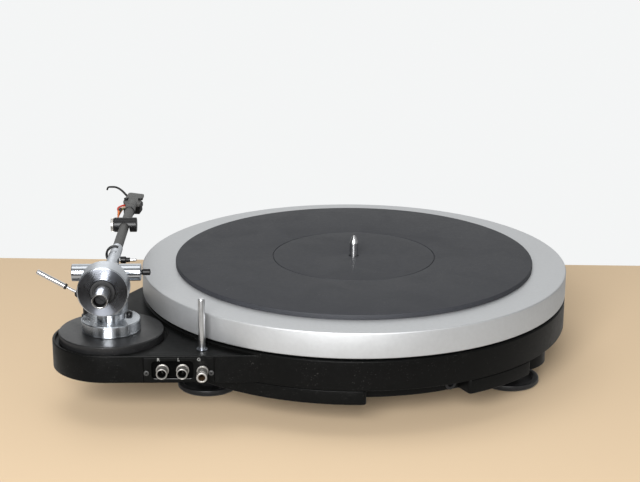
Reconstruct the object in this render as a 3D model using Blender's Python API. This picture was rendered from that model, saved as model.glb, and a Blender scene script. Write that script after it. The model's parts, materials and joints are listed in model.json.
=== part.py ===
"""A belt-drive turntable with a side wing that carries the tonearm.

Metres, +Z up. The user's front is at -Y and the tonearm is on the +X side.
The origin is at the middle of the whole object's box, on the surface it stands on.
Places on the plinth are first measured from the spindle, and places on the
tonearm from its own turning axis, with the arm pointing towards -Y.
"""
import bpy
import bmesh
import math
from mathutils import Vector

# Shared fits and detail
fit_gap = 0.0003
weld = 0.000001
overrun = 0.004
edge_round = 0.0008
fine_round = 0.0004
large_segments = 80
wide_segments = 40
medium_segments = 24
small_segments = 18
tiny_segments = 12
notch_steps = 6
corner_steps = 3
sharp_angle = math.radians(28)

# The platter's size, and how far everything stands from it
platter_radius = 0.175
arm_clearance = 0.0455
arm_bearing = math.radians(33.44)
foot_inset = 0.0355
motor_inset = 0.035
base_wall = 0.0173
panel_back = 0.056
key_back = 0.072
key_side = 0.0275

# Feet and pods
foot_count = 3
first_foot_angle = math.radians(34.5)
foot_radius = 0.0243
foot_thickness = 0.0058
foot_rim_width = 0.0036
foot_recess = 0.0018
foot_edge_round = 0.0016
foot_hub_radius = 0.0095
pad_radius = 0.0195
pad_thickness = 0.002
pad_proud = 0.0008
stem_radius = 0.006
pod_radius = 0.0285
pod_roof = 0.0015
pod_clearance = 0.0199
pod_drop = 0.0063

# Base under the deck
base_thickness = 0.0108
cover_thickness = 0.002
pod_opening_gap = 0.0017
skirt_end_radius = 0.003
inlet_notch_depth = 0.015
inlet_notch_start = math.radians(93.5)
inlet_notch_end = math.radians(120.1)
inlet_angle = math.radians(117.4)
inlet_radius = 0.0042
inlet_bore_radius = 0.0028
inlet_pin_radius = 0.0009
inlet_length = 0.009
inlet_bore_depth = 0.0035
inlet_flange_radius = 0.0048
inlet_flange_thickness = 0.001

# Deck and wing
deck_thickness = 0.0212
deck_step = 0.0022
deck_chamfer = 0.0009
wing_chamfer = 0.0006
wing_end_radius = 0.0447
wing_half_angle = math.radians(30.4)
wing_reach_share = 0.8

# Main bearing, platter and mat
platter_gap = 0.0016
platter_thickness = 0.0202
platter_roof = 0.010
platter_rim = 0.015
platter_round = 0.0011
mat_radius = 0.1475
mat_thickness = 0.0039
mat_groove_radius = 0.067
mat_groove_width = 0.0009
mat_groove_depth = 0.0007
spindle_radius = 0.0036
spindle_shaft_rise = 0.011
spindle_tip_length = 0.0063
spindle_tip_radius = 0.0009
spindle_tip_share = 0.93
bearing_shaft_radius = 0.008
bearing_wall = 0.0055
bearing_floor = 0.002
bearing_flange_radius = 0.026
bearing_flange_thickness = 0.0045
subplatter_radius = 0.075
subplatter_thickness = 0.0062
subplatter_boss_radius = 0.030

# Motor, pulley and belt
motor_angle = math.radians(214.5)
motor_radius = 0.025
motor_height = 0.0285
motor_plate_radius = 0.034
motor_plate_thickness = 0.0027
motor_shaft_radius = 0.0016
pulley_radius = 0.009
pulley_flange = 0.0011
pulley_flange_thickness = 0.0009
belt_width = 0.0045
belt_thickness = 0.0012
belt_segments = 28

# Speed buttons in the front edge
button_count = 2
button_first_angle = math.radians(252)
button_spacing = math.radians(6.5)
button_radius = 0.004
button_length = 0.0065
button_proud = 0.0016
button_hole_depth = 0.008
button_height_share = 0.5

# Socket panel on the wing's rear face, places measured from the panel's middle
panel_length = 0.052
panel_height = 0.0192
panel_thickness = 0.004
panel_corner = 0.0012
panel_height_share = 0.5
panel_drop = 0.0005
window_length = 0.0305
window_height = 0.0135
window_corner = 0.0028
window_depth = 0.0022
window_offset = 0.0047
wiring_space_length = 0.044
wiring_space_height = 0.012
wiring_space_depth = 0.009
rca_right_offset = 0.0122
rca_left_offset = -0.0027
ground_to_screw = 0.0064
socket_drop = 0.0007
rca_flange_radius = 0.0048
rca_flange_thickness = 0.0012
rca_barrel_radius = 0.0041
rca_barrel_length = 0.0078
rca_wall = 0.0008
rca_pin_bore = 0.0017
rca_insert_recess = 0.0012
rca_tail_radius = 0.0031
rca_tail_length = 0.0045
ground_radius = 0.0040
ground_length = 0.0142
ground_bore_radius = 0.0015
ground_bore_depth = 0.003
ground_washer_radius = 0.0043
ground_washer_thickness = 0.0012
ground_waist = 0.0007
panel_screw_radius = 0.0020
panel_screw_height = 0.0007
panel_screw_offset_share = 0.46
panel_screw_drop = 0.0022

# Levelling key that stands in a bush on the wing
key_radius = 0.0025
key_rise = 0.040
key_seat_depth = 0.007
key_tip_round = 0.001
bush_radius = 0.0036
bush_rise = 0.0009
bush_lip_radius = 0.0042

# Armboard and the fixed part of the tonearm
armboard_radius = 0.0398
armboard_rise = 0.005
armboard_chamfer = 0.0007
armboard_spigot_radius = 0.030
recess_radius = 0.0425
recess_depth = 0.0022
arm_ring_radius = 0.0224
arm_ring_height = 0.00905
arm_ring_chamfer = 0.0006
pillar_radius = 0.0105
pillar_rise = 0.0052
journal_radius = 0.006
journal_length = 0.0115
journal_end_gap = 0.001
lock_screw_x = -0.0135
lock_screw_y = -0.006
lock_screw_radius = 0.0024
lock_screw_height = 0.0026

# Turret, cross cylinder and pivot
arm_rest_turn = math.radians(3.5)
pivot_rise = 0.0264
turret_radius = 0.0132
turret_top_rise = 0.0012
turret_chamfer = 0.0008
running_gap = 0.0006
cross_radius = 0.0065
cross_length = 0.052
cross_offset = 0.002
cross_chamfer = 0.0005
hub_radius = 0.0072
hub_half_width = 0.007
slot_clearance = 0.0006
trunnion_radius = 0.0022
trunnion_length = 0.0042
bias_knob_radius = 0.0024
bias_knob_length = 0.007
bias_knob_groove = 0.0004

# Tonearm, measured from the pivot along the arm
arm_droop = math.radians(0.7)
sleeve_radius = 0.00525
sleeve_end = 0.041
sleeve_lip = 0.0006
tube_radius = 0.0043
tube_end = 0.207
collar_radius = 0.0054
collar_length = 0.0055
collar_groove = 0.0006
stub_radius = 0.00575
stub_end = 0.0695
stub_bore_radius = 0.0046
stub_bore_depth = 0.012
stub_screw_depth = 0.006
stub_screw_slot_width = 0.0009
stub_screw_slot_depth = 0.0012
stub_screw_slot_turn = math.radians(35)
weight_radius = 0.0187
weight_thickness = 0.018
weight_start = 0.031
weight_chamfer = 0.0008
weight_ring_radius = 0.00915
weight_ring_thickness = 0.0026
weight_ring_seat = 0.002
rider_place = 0.130
rider_radius = 0.0061
rider_length = 0.0205
rider_lift = 0.0011
rider_flare = 0.0014
rider_chamfer = 0.0004
rider_screw_radius = 0.0030
rider_screw_thickness = 0.0024
side_screw_place = 0.034
side_screw_radius = 0.0012
side_screw_length = 0.0118
side_weight_radius = 0.0027
side_weight_length = 0.0078
side_weight_inset = 0.0006
side_screw_bury = 0.0024

# Headshell, cartridge and finger lift
headshell_place = 0.222
headshell_turn = math.radians(-18)
headshell_length = 0.026
headshell_front_width = 0.0165
headshell_rear_width = 0.0195
headshell_corner = 0.002
headshell_thickness = 0.0022
headshell_top = -0.0012
cartridge_hole_spacing = 0.0127
slot_width = 0.0027
slot_length = 0.011
slot_shift = -0.0015
mount_screw_head_radius = 0.0019
mount_screw_head_height = 0.0015
cartridge_length = 0.022
cartridge_width = 0.0168
cartridge_height = 0.0112
cartridge_nose_share = 0.55
cartridge_shoulder_share = 0.3
cartridge_back_shift = -0.003
cantilever_length = 0.006
cantilever_radius = 0.0004
cantilever_root_share = 0.9
stylus_drop = 0.0024
finger_radius = 0.0007
finger_span = 0.016
finger_rise = 0.0052
finger_forward = 0.004
finger_root_share = 0.2
finger_shares = ((0.25, 0.4, 0.55), (0.62, 0.8, 1.0), (0.92, 1.0, 0.72), (1.0, 1.0, 0.33))
lead_count = 4
lead_radius = 0.0005
lead_spread = 0.0017
lead_bulge = 0.006
lead_reach = 0.0077
lead_rise = 0.0032
lead_shares = ((0.6, 0.3, 0.1), (1.0, 0.6, 0.35))
lead_start_share = 0.5
lead_end_share = 0.85
lead_gather_share = 0.4
lead_level_share = 0.3
lead_sleeve_radius = 0.0017
lead_sleeve_length = 0.003

# Arm rest
rest_place = 0.0445
rest_inner_radius = 0.0059
rest_wall = 0.0021
rest_tip_share = 0.45
rest_post_share = 0.6
rest_depth = 0.0042
rest_lift = 0.0008
rest_start_angle = math.radians(-108)
rest_end_angle = math.radians(114)
rest_post_radius = 0.0026
rest_foot_radius = 0.0046
rest_foot_height = 0.0016

# Arm lift
lift_x = 0.020
lift_y = -0.027
lift_column_radius = 0.0043
lift_column_foot_radius = 0.0056
lift_column_foot_height = 0.0022
lift_plunger_radius = 0.0018
lift_bar_radius = 0.0016
lift_bar_reach = 0.037
lift_bar_gap = 0.0006
lift_bar_back = 0.0027
plunger_depth_share = 0.6
lever_drop = 0.0256
lever_rod_radius = 0.0011
lever_slope = math.radians(30)
lever_rod_end = 0.0105
lever_end = 0.036
lever_grip_radius = 0.0016
lever_collar_radius = 0.0023
lever_collar_length = 0.0016
lever_hub_radius = 0.0027
lever_hub_length = 0.003
lever_hub_cover = 0.0049


def circle_point(radius, angle, height):
    return Vector((radius * math.cos(angle), radius * math.sin(angle), height))


# Levels, from the surface up
base_bottom = pod_clearance + pod_drop
deck_bottom = base_bottom + base_thickness + fit_gap
wing_top = deck_bottom + deck_thickness
deck_top = wing_top + deck_step
platter_bottom = deck_top + platter_gap
platter_top = platter_bottom + platter_thickness
mat_bottom = platter_top + fit_gap
mat_top = mat_bottom + mat_thickness
armboard_top = wing_top + armboard_rise
arm_ring_top = armboard_top + arm_ring_height
pillar_top = arm_ring_top + pillar_rise
pivot_height = platter_top + pivot_rise

# Places that follow the platter's size
deck_radius = platter_radius
arm_distance = platter_radius + arm_clearance
arm_x = arm_distance * math.cos(arm_bearing)
arm_y = arm_distance * math.sin(arm_bearing)
panel_middle_x = arm_x - panel_back
key_x = arm_x - key_back
key_y = arm_y + key_side
motor_distance = platter_radius - platter_rim - motor_inset
foot_circle_radius = platter_radius - foot_inset
base_cavity_radius = foot_circle_radius - pod_radius - pod_opening_gap - base_wall
pod_opening_half_angle = math.asin((pod_radius + pod_opening_gap) / foot_circle_radius)


def finish(red, green, blue, roughness, metallic=0.0):
    return (red, green, blue), roughness, metallic


SATIN_BLACK = finish(0.012, 0.012, 0.013, 0.32)
MATT_BLACK = finish(0.02, 0.02, 0.021, 0.6)
RUBBER = finish(0.03, 0.03, 0.032, 0.75)
SILVER = finish(0.72, 0.73, 0.74, 0.35, 1.0)
POLISHED = finish(0.86, 0.87, 0.88, 0.08, 1.0)
GREY_TUBE = finish(0.23, 0.23, 0.24, 0.45, 0.6)
NICKEL = finish(0.75, 0.72, 0.65, 0.2, 1.0)
BRASS = finish(0.72, 0.52, 0.25, 0.3, 1.0)
STEEL = finish(0.5, 0.5, 0.52, 0.3, 1.0)
LEAD = finish(0.6, 0.08, 0.04, 0.45)


def material(name, look):
    colour, roughness, metallic = look
    made = bpy.data.materials.new(name)
    made.use_nodes = True
    shader = made.node_tree.nodes["Principled BSDF"]
    shader.inputs["Base Color"].default_value = (*colour, 1)
    shader.inputs["Roughness"].default_value = roughness
    shader.inputs["Metallic"].default_value = metallic
    made.diffuse_color = (*colour, 1)
    return made


def empty(name, place, parent=None, turn=(0, 0, 0)):
    made = bpy.data.objects.new(name, None)
    bpy.context.scene.collection.objects.link(made)
    made.empty_display_size = fit_gap
    made.location = place
    made.rotation_euler = turn
    made.parent = parent
    return made


def place_mesh(name, shape, look, parent, place=(0, 0, 0), turn=(0, 0, 0), smooth=True):
    """Turn a bmesh into an object with its own material."""
    bmesh.ops.recalc_face_normals(shape, faces=shape.faces)
    mesh = bpy.data.meshes.new(name)
    shape.to_mesh(mesh)
    shape.free()
    if smooth:
        mesh.shade_smooth()
        mesh.set_sharp_from_angle(angle=sharp_angle)
    made = bpy.data.objects.new(name, mesh)
    bpy.context.scene.collection.objects.link(made)
    made.location = place
    made.rotation_euler = turn
    made.parent = parent
    mesh.materials.append(material(name, look))
    return made


def turned_shape(profile, segments):
    """Spin a profile of (radius, height) points round Z; off the axis it closes on itself."""
    shape = bmesh.new()
    points = [shape.verts.new((radius, 0, height)) for radius, height in profile]
    edges = [shape.edges.new(pair) for pair in zip(points, points[1:])]
    if profile[0][0] > 0:
        edges.append(shape.edges.new((points[-1], points[0])))
    bmesh.ops.spin(shape, geom=points + edges, cent=(0, 0, 0), axis=(0, 0, 1),
                   angle=math.tau, steps=segments, use_duplicate=False)
    bmesh.ops.remove_doubles(shape, verts=shape.verts, dist=weld)
    return shape


def turned(name, profile, look, parent, place=(0, 0, 0), turn=(0, 0, 0), segments=small_segments):
    return place_mesh(name, turned_shape(profile, segments), look, parent, place, turn)


def turned_set(name, profile, look, parent, places, segments=small_segments):
    """The same turned piece at several places, each its own numbered object."""
    return [turned(f"{name}_{number}", profile, look, parent, place, (0, 0, 0), segments)
            for number, place in enumerate(places, start=1)]


def prism_shape(outline, bottom, top, chamfer=0.0):
    """Extrude a flat outline, with a chamfer round its top edge if asked."""
    shape = bmesh.new()
    face = shape.faces.new([shape.verts.new((x, y, bottom)) for x, y in outline])
    lift = bmesh.ops.extrude_face_region(shape, geom=[face])
    raised = [item for item in lift["geom"] if isinstance(item, bmesh.types.BMVert)]
    bmesh.ops.translate(shape, verts=raised, vec=(0, 0, top - chamfer - bottom))
    if chamfer > 0:
        roof = [item for item in lift["geom"] if isinstance(item, bmesh.types.BMFace)]
        bmesh.ops.recalc_face_normals(shape, faces=shape.faces)
        bmesh.ops.inset_region(shape, faces=roof, thickness=chamfer, use_even_offset=True)
        bmesh.ops.translate(shape, verts=list(roof[0].verts), vec=(0, 0, chamfer))
    return shape


def prism(name, outline, bottom, top, look, parent, place=(0, 0, 0), turn=(0, 0, 0), chamfer=0.0):
    return place_mesh(name, prism_shape(outline, bottom, top, chamfer), look, parent, place, turn)


def arc(radius, start, end, steps, middle=(0, 0)):
    """Points along an arc, both ends included."""
    angles = [start + (end - start) * step / steps for step in range(steps + 1)]
    return [(middle[0] + radius * math.cos(a), middle[1] + radius * math.sin(a)) for a in angles]


def rounded_outline(length, height, radius):
    """A rectangle with round corners, centred on zero."""
    points = []
    for quarter, (side_x, side_y) in enumerate([(1, 1), (-1, 1), (-1, -1), (1, -1)]):
        middle = (side_x * (length / 2 - radius), side_y * (height / 2 - radius))
        start = quarter * math.pi / 2
        points += arc(radius, start, start + math.pi / 2, corner_steps, middle)
    return points


def disc_profile(radius, bottom, top, chamfer=0.0):
    """A solid disc from the axis out, with a chamfered top edge."""
    profile = [(0, bottom), (radius, bottom)]
    if chamfer > 0:
        profile += [(radius, top - chamfer), (radius - chamfer, top)]
    else:
        profile += [(radius, top)]
    return profile + [(0, top)]


def ring_profile(inner, outer, bottom, top, chamfer=0.0):
    """A ring with a chamfered outer top edge."""
    profile = [(inner, bottom), (outer, bottom)]
    if chamfer > 0:
        profile += [(outer, top - chamfer), (outer - chamfer, top)]
    else:
        profile += [(outer, top)]
    return profile + [(inner, top)]


def rod_profile(radius, start, end, chamfer=0.0):
    """A solid rod with both ends chamfered."""
    if chamfer <= 0:
        return [(0, start), (radius, start), (radius, end), (0, end)]
    return [(0, start), (radius - chamfer, start), (radius, start + chamfer),
            (radius, end - chamfer), (radius - chamfer, end), (0, end)]


def wire(name, runs, radius, look, parent, sides=2):
    """Round wires along smooth points, with closed ends."""
    curve = bpy.data.curves.new(name, "CURVE")
    curve.dimensions = "3D"
    curve.bevel_depth = radius
    curve.bevel_resolution = sides
    curve.use_fill_caps = True
    for points in runs:
        spline = curve.splines.new("POLY")
        spline.points.add(len(points) - 1)
        for target, point in zip(spline.points, points):
            target.co = (*point, 1)
    made = bpy.data.objects.new(name, curve)
    bpy.context.scene.collection.objects.link(made)
    made.parent = parent
    curve.materials.append(material(name, look))
    return made


def wire_tool(name, run, radius, look, parent):
    """A wire as a mesh, for joining to a solid."""
    curve = wire(name, [run], radius, look, None, 1)
    graph = bpy.context.evaluated_depsgraph_get()
    mesh = bpy.data.meshes.new_from_object(curve.evaluated_get(graph))
    bpy.data.objects.remove(curve, do_unlink=True)
    made = bpy.data.objects.new(name, mesh)
    bpy.context.scene.collection.objects.link(made)
    made.parent = parent
    return made


def smooth_path(corners, steps):
    """Points of a Catmull-Rom curve through the given corners."""
    knots = [corners[0]] + list(corners) + [corners[-1]]
    path = []
    for first, start, end, last in zip(knots, knots[1:], knots[2:], knots[3:]):
        for step in range(steps):
            t = step / steps
            path.append(0.5 * (2 * start + (end - first) * t
                               + (2 * first - 5 * start + 4 * end - last) * t ** 2
                               + (3 * start - first - 3 * end + last) * t ** 3))
    return path + [corners[-1]]


def boolean(target, tool, operation):
    change = target.modifiers.new(tool.name, "BOOLEAN")
    change.object = tool
    change.operation = operation
    change.solver = "EXACT"
    tool.hide_render = True
    tool.display_type = "WIRE"


def cut(target, *tools):
    for tool in tools:
        boolean(target, tool, "DIFFERENCE")


def join(target, *tools):
    for tool in tools:
        boolean(target, tool, "UNION")


ALONG_Y = (math.radians(-90), 0, 0)
ALONG_MINUS_Y = (math.radians(90), 0, 0)
ALONG_X = (0, math.radians(90), 0)
ALONG_MINUS_X = (0, math.radians(-90), 0)


def foot_places():
    return [first_foot_angle + math.tau * number / foot_count for number in range(foot_count)]


def make_feet(deck):
    """Three levelling feet: a dished disc on a threaded stem, with a rubber pad under it."""
    disc_bottom = pad_proud
    disc_top = foot_thickness
    pocket_top = pad_thickness + fit_gap
    stem_top = deck_bottom - fit_gap - pod_roof - fit_gap
    recess_radius_inside = foot_radius - foot_rim_width
    recess_floor = disc_top - foot_recess
    for number, angle in enumerate(foot_places(), start=1):
        axis = empty(f"foot_axis_{number}", circle_point(foot_circle_radius, angle, 0), deck)
        turned(f"foot_{number}", [
            (0, pocket_top), (pad_radius + fit_gap, pocket_top), (pad_radius + fit_gap, disc_bottom),
            (foot_radius - foot_edge_round, disc_bottom), (foot_radius, disc_bottom + foot_edge_round),
            (foot_radius, disc_top),
            (recess_radius_inside, disc_top), (recess_radius_inside - foot_recess, recess_floor),
            (foot_hub_radius, recess_floor), (stem_radius, disc_top + foot_recess),
            (stem_radius, stem_top), (0, stem_top)],
            SATIN_BLACK, axis, segments=medium_segments)
        turned(f"foot_pad_{number}", disc_profile(pad_radius, 0, pad_thickness), RUBBER, axis)


def make_pods(deck):
    """The three round pods under the deck that the feet screw into."""
    pod_top = deck_bottom - fit_gap
    turned_set("foot_pod", [
        (0, pod_top - pod_roof), (stem_radius + fit_gap, pod_top - pod_roof),
        (stem_radius + fit_gap, pod_clearance), (pod_radius - edge_round, pod_clearance),
        (pod_radius, pod_clearance + edge_round), (pod_radius, pod_top), (0, pod_top)],
        SATIN_BLACK, deck, [circle_point(foot_circle_radius, angle, 0) for angle in foot_places()],
        medium_segments)


def end_round(radius, angle, side):
    """The rounded end of the skirt's wall, where it turns in along a radius."""
    swing = math.asin(skirt_end_radius / (radius - skirt_end_radius))
    middle = ((radius - skirt_end_radius) * math.cos(angle - side * swing),
              (radius - skirt_end_radius) * math.sin(angle - side * swing))
    start = angle - side * swing
    return arc(skirt_end_radius, start, angle + side * math.pi / 2, corner_steps, middle)


def base_outline():
    """The skirt seen from above, open at each pod and at the inlet notch."""
    swing = math.asin(skirt_end_radius / (deck_radius - skirt_end_radius))
    half = pod_opening_half_angle
    breaks = []
    for angle in foot_places():
        breaks.append((angle - half, angle + half, "pod"))
    breaks.append((inlet_notch_start, inlet_notch_end, "inlet"))
    breaks.sort(key=lambda item: item[0] % math.tau)
    outline = []
    for here, following in zip(breaks, breaks[1:] + breaks[:1]):
        start, end, kind = here
        outline += end_round(deck_radius, start, 1)
        if kind == "inlet":
            outline += arc(deck_radius - inlet_notch_depth, start, end, notch_steps)
        else:
            toward = (start + end) / 2
            middle = (foot_circle_radius * math.cos(toward), foot_circle_radius * math.sin(toward))
            outline += arc(pod_radius + pod_opening_gap, toward - half - math.pi / 2,
                           toward + half - 3 * math.pi / 2, medium_segments // 2, middle)
        outline += list(reversed(end_round(deck_radius, end, -1)))
        stop = following[0]
        while stop < end:
            stop += math.tau
        steps = max(2, round(large_segments * (stop - end) / math.tau))
        outline += arc(deck_radius, end + swing, stop - swing, steps)[1:-1]
    return outline


def make_base(deck):
    """The lower body with its pod openings, inlet notch and bottom cover."""
    base_top = deck_bottom - fit_gap
    base = prism("base_body", base_outline(), base_bottom, base_top, SATIN_BLACK, deck)
    cavity = turned("cavity_cutter", disc_profile(base_cavity_radius, base_bottom - overrun,
                    base_top + overrun), MATT_BLACK, deck, segments=wide_segments)
    motor_hole = turned("base_motor_cutter", disc_profile(motor_radius + running_gap,
                        base_bottom - overrun, base_top + overrun), MATT_BLACK, deck,
                        circle_point(motor_distance, motor_angle, 0), segments=medium_segments)
    notch_wall = deck_radius - inlet_notch_depth
    inlet_middle = base_bottom + base_thickness / 2
    inlet_hole = turned("inlet_cutter", disc_profile(inlet_radius + fit_gap, -inlet_length - fit_gap,
                        overrun), MATT_BLACK, deck, circle_point(notch_wall, inlet_angle, inlet_middle),
                        (0, math.pi / 2, inlet_angle), segments=tiny_segments)
    cut(base, cavity, motor_hole, inlet_hole)
    turned("power_inlet", [
        (0, -inlet_length), (inlet_radius, -inlet_length), (inlet_radius, fit_gap),
        (inlet_flange_radius, fit_gap), (inlet_flange_radius, fit_gap + inlet_flange_thickness),
        (inlet_bore_radius, fit_gap + inlet_flange_thickness),
        (inlet_bore_radius, fit_gap - inlet_bore_depth), (inlet_pin_radius, fit_gap - inlet_bore_depth),
        (inlet_pin_radius, 0), (0, 0)],
        MATT_BLACK, deck, circle_point(notch_wall, inlet_angle, inlet_middle),
        (0, math.pi / 2, inlet_angle), tiny_segments)
    cover_radius = base_cavity_radius - fit_gap
    turned("bottom_cover", disc_profile(cover_radius, base_bottom, base_bottom + cover_thickness),
           MATT_BLACK, deck, segments=wide_segments)


def side_frame():
    """Direction along the wing's rear face, and its outward direction."""
    along = arm_bearing - wing_half_angle
    return Vector((math.cos(along), math.sin(along), 0)), Vector((-math.sin(along), math.cos(along), 0))


def wing_outline():
    """Two straight sides, tangent to the round end about the tonearm's axis."""
    reach = arm_distance * wing_reach_share
    near_normal = arm_bearing - wing_half_angle + math.pi / 2
    far_normal = arm_bearing + wing_half_angle - math.pi / 2
    points = arc(wing_end_radius, far_normal, near_normal, medium_segments // 2, (arm_x, arm_y))
    near_side = near_normal - math.pi / 2
    far_side = far_normal + math.pi / 2
    inner_near = (points[-1][0] - reach * math.cos(near_side), points[-1][1] - reach * math.sin(near_side))
    inner_far = (points[0][0] - reach * math.cos(far_side), points[0][1] - reach * math.sin(far_side))
    return points + [inner_near, inner_far]


def panel_place():
    """Middle of the socket panel's outer face, and the turn that faces it outward."""
    along, outward = side_frame()
    start = Vector((arm_x, arm_y, 0)) + outward * wing_end_radius
    travel = (panel_middle_x - start.x) / along.x
    height = deck_bottom + deck_thickness * panel_height_share - panel_drop
    middle = start + along * travel
    return Vector((middle.x, middle.y, height)), arm_bearing - wing_half_angle


def make_plinth(deck):
    """The round deck and the wing in one piece, with every pocket cut into it."""
    plinth = turned("plinth", disc_profile(deck_radius, deck_bottom, deck_top, deck_chamfer),
                    SATIN_BLACK, deck, segments=large_segments)
    wing = prism("wing_join", wing_outline(), deck_bottom, wing_top, SATIN_BLACK, deck,
                 chamfer=wing_chamfer)
    join(plinth, wing)
    through = deck_bottom - overrun
    bearing_outer = bearing_shaft_radius + fit_gap + bearing_wall
    cutters = [
        turned("bearing_cutter", [
            (0, through), (bearing_outer + fit_gap, through),
            (bearing_outer + fit_gap, deck_top - bearing_flange_thickness - fit_gap),
            (bearing_flange_radius + fit_gap, deck_top - bearing_flange_thickness - fit_gap),
            (bearing_flange_radius + fit_gap, deck_top + overrun), (0, deck_top + overrun)],
            MATT_BLACK, deck, segments=medium_segments),
        turned("motor_cutter", [
            (0, through), (motor_radius + running_gap, through),
            (motor_radius + running_gap, deck_top - motor_plate_thickness - fit_gap),
            (motor_plate_radius + fit_gap, deck_top - motor_plate_thickness - fit_gap),
            (motor_plate_radius + fit_gap, deck_top + overrun), (0, deck_top + overrun)],
            MATT_BLACK, deck, circle_point(motor_distance, motor_angle, 0), segments=medium_segments),
        turned("armboard_cutter", [
            (0, through), (armboard_spigot_radius + fit_gap, through),
            (armboard_spigot_radius + fit_gap, wing_top - recess_depth),
            (recess_radius, wing_top - recess_depth), (recess_radius, wing_top + overrun),
            (0, wing_top + overrun)],
            MATT_BLACK, deck, (arm_x, arm_y, 0), segments=wide_segments),
        turned("bush_cutter", disc_profile(bush_radius + fit_gap, wing_top - key_seat_depth - fit_gap * 3,
               wing_top + overrun), MATT_BLACK, deck, (key_x, key_y, 0), segments=tiny_segments),
    ]
    middle, turn = panel_place()
    face_out = (math.pi / 2, 0, turn + math.pi)
    cutters.append(prism("panel_cutter", rounded_outline(panel_length + fit_gap * 2,
                   panel_height + fit_gap * 2, panel_corner), -panel_thickness - fit_gap, overrun,
                   MATT_BLACK, deck, middle, face_out))
    cutters.append(prism("wiring_cutter", rounded_outline(wiring_space_length, wiring_space_height,
                   panel_corner), -panel_thickness - wiring_space_depth, -panel_thickness / 2,
                   MATT_BLACK, deck, middle, face_out))
    for number, (angle, height) in enumerate(button_places()):
        cutters.append(turned(f"button_cutter_{number + 1}", disc_profile(button_radius + fit_gap,
                       -button_hole_depth, overrun), MATT_BLACK, deck,
                       circle_point(deck_radius, angle, height), (0, math.pi / 2, angle), tiny_segments))
    cut(plinth, *cutters)


def button_places():
    height = deck_bottom + deck_thickness * button_height_share
    return [(button_first_angle + button_spacing * number, height) for number in range(button_count)]


def make_buttons(deck):
    """Round push buttons in the front edge, one for each speed."""
    for number, (angle, height) in enumerate(button_places()):
        axis = empty(f"button_axis_{number + 1}", circle_point(deck_radius, angle, height), deck,
                     (0, math.pi / 2, angle))
        turned(f"speed_button_{number + 1}", rod_profile(button_radius, button_proud - button_length,
               button_proud), SILVER, axis, segments=tiny_segments)


def make_bearing(deck):
    """The housing of the main bearing, let into the deck."""
    outer = bearing_shaft_radius + fit_gap + bearing_wall
    bottom = base_bottom + cover_thickness + running_gap
    top = deck_top - fit_gap
    turned("bearing_housing", [
        (0, bottom), (outer, bottom), (outer, top - bearing_flange_thickness),
        (bearing_flange_radius, top - bearing_flange_thickness), (bearing_flange_radius, top - fine_round),
        (bearing_flange_radius - fine_round, top), (bearing_shaft_radius + fit_gap, top),
        (bearing_shaft_radius + fit_gap, bottom + bearing_floor), (0, bottom + bearing_floor)],
        BRASS, deck, segments=medium_segments)


def make_platter(deck):
    """Platter, mat, belt-driven sub-platter and the stepped spindle on one axis."""
    axis = empty("platter_axis", (0, 0, 0), deck)
    bore = spindle_radius + fit_gap
    roof = platter_top - platter_roof
    inner = platter_radius - platter_rim
    turned("platter", [
        (bore, roof), (inner, roof), (inner, platter_bottom),
        (platter_radius - platter_round, platter_bottom),
        (platter_radius, platter_bottom + platter_round),
        (platter_radius, platter_top - platter_round),
        (platter_radius - platter_round, platter_top), (bore, platter_top)],
        SILVER, axis, segments=large_segments)
    groove = mat_groove_width / 2
    turned("platter_mat", [
        (bore + fit_gap, mat_bottom), (mat_radius, mat_bottom), (mat_radius, mat_top - edge_round),
        (mat_radius - edge_round, mat_top), (mat_groove_radius + groove, mat_top),
        (mat_groove_radius, mat_top - mat_groove_depth), (mat_groove_radius - groove, mat_top),
        (bore + fit_gap, mat_top)],
        RUBBER, axis, segments=wide_segments)
    shoulder = platter_bottom + fit_gap * 2
    subplatter_bottom = shoulder + fit_gap
    subplatter_top = subplatter_bottom + subplatter_thickness
    turned("sub_platter", [
        (bore, subplatter_bottom), (subplatter_radius, subplatter_bottom),
        (subplatter_radius, subplatter_top), (subplatter_boss_radius, subplatter_top),
        (subplatter_boss_radius, roof - fit_gap), (bore, roof - fit_gap)],
        SILVER, axis, segments=wide_segments)
    shaft_bottom = base_bottom + cover_thickness + running_gap + bearing_floor + fit_gap
    shaft_top = mat_top + spindle_shaft_rise
    turned("spindle", [
        (0, shaft_bottom), (bearing_shaft_radius - edge_round, shaft_bottom),
        (bearing_shaft_radius, shaft_bottom + edge_round), (bearing_shaft_radius, shoulder),
        (spindle_radius, shoulder), (spindle_radius, shaft_top),
        (spindle_tip_radius, shaft_top + spindle_tip_length * spindle_tip_share),
        (0, shaft_top + spindle_tip_length)],
        POLISHED, axis, segments=small_segments)


def belt_loop(offset, gap):
    """The belt's line round the sub-platter and the pulley, seen from above."""
    large = subplatter_radius + gap + offset
    small = pulley_radius + gap + offset
    turn = math.acos((large - small) / motor_distance)
    small_middle = (motor_distance, 0)
    path = arc(large, turn, math.tau - turn, belt_segments)
    return path + arc(small, -turn, turn, tiny_segments, small_middle)


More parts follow.
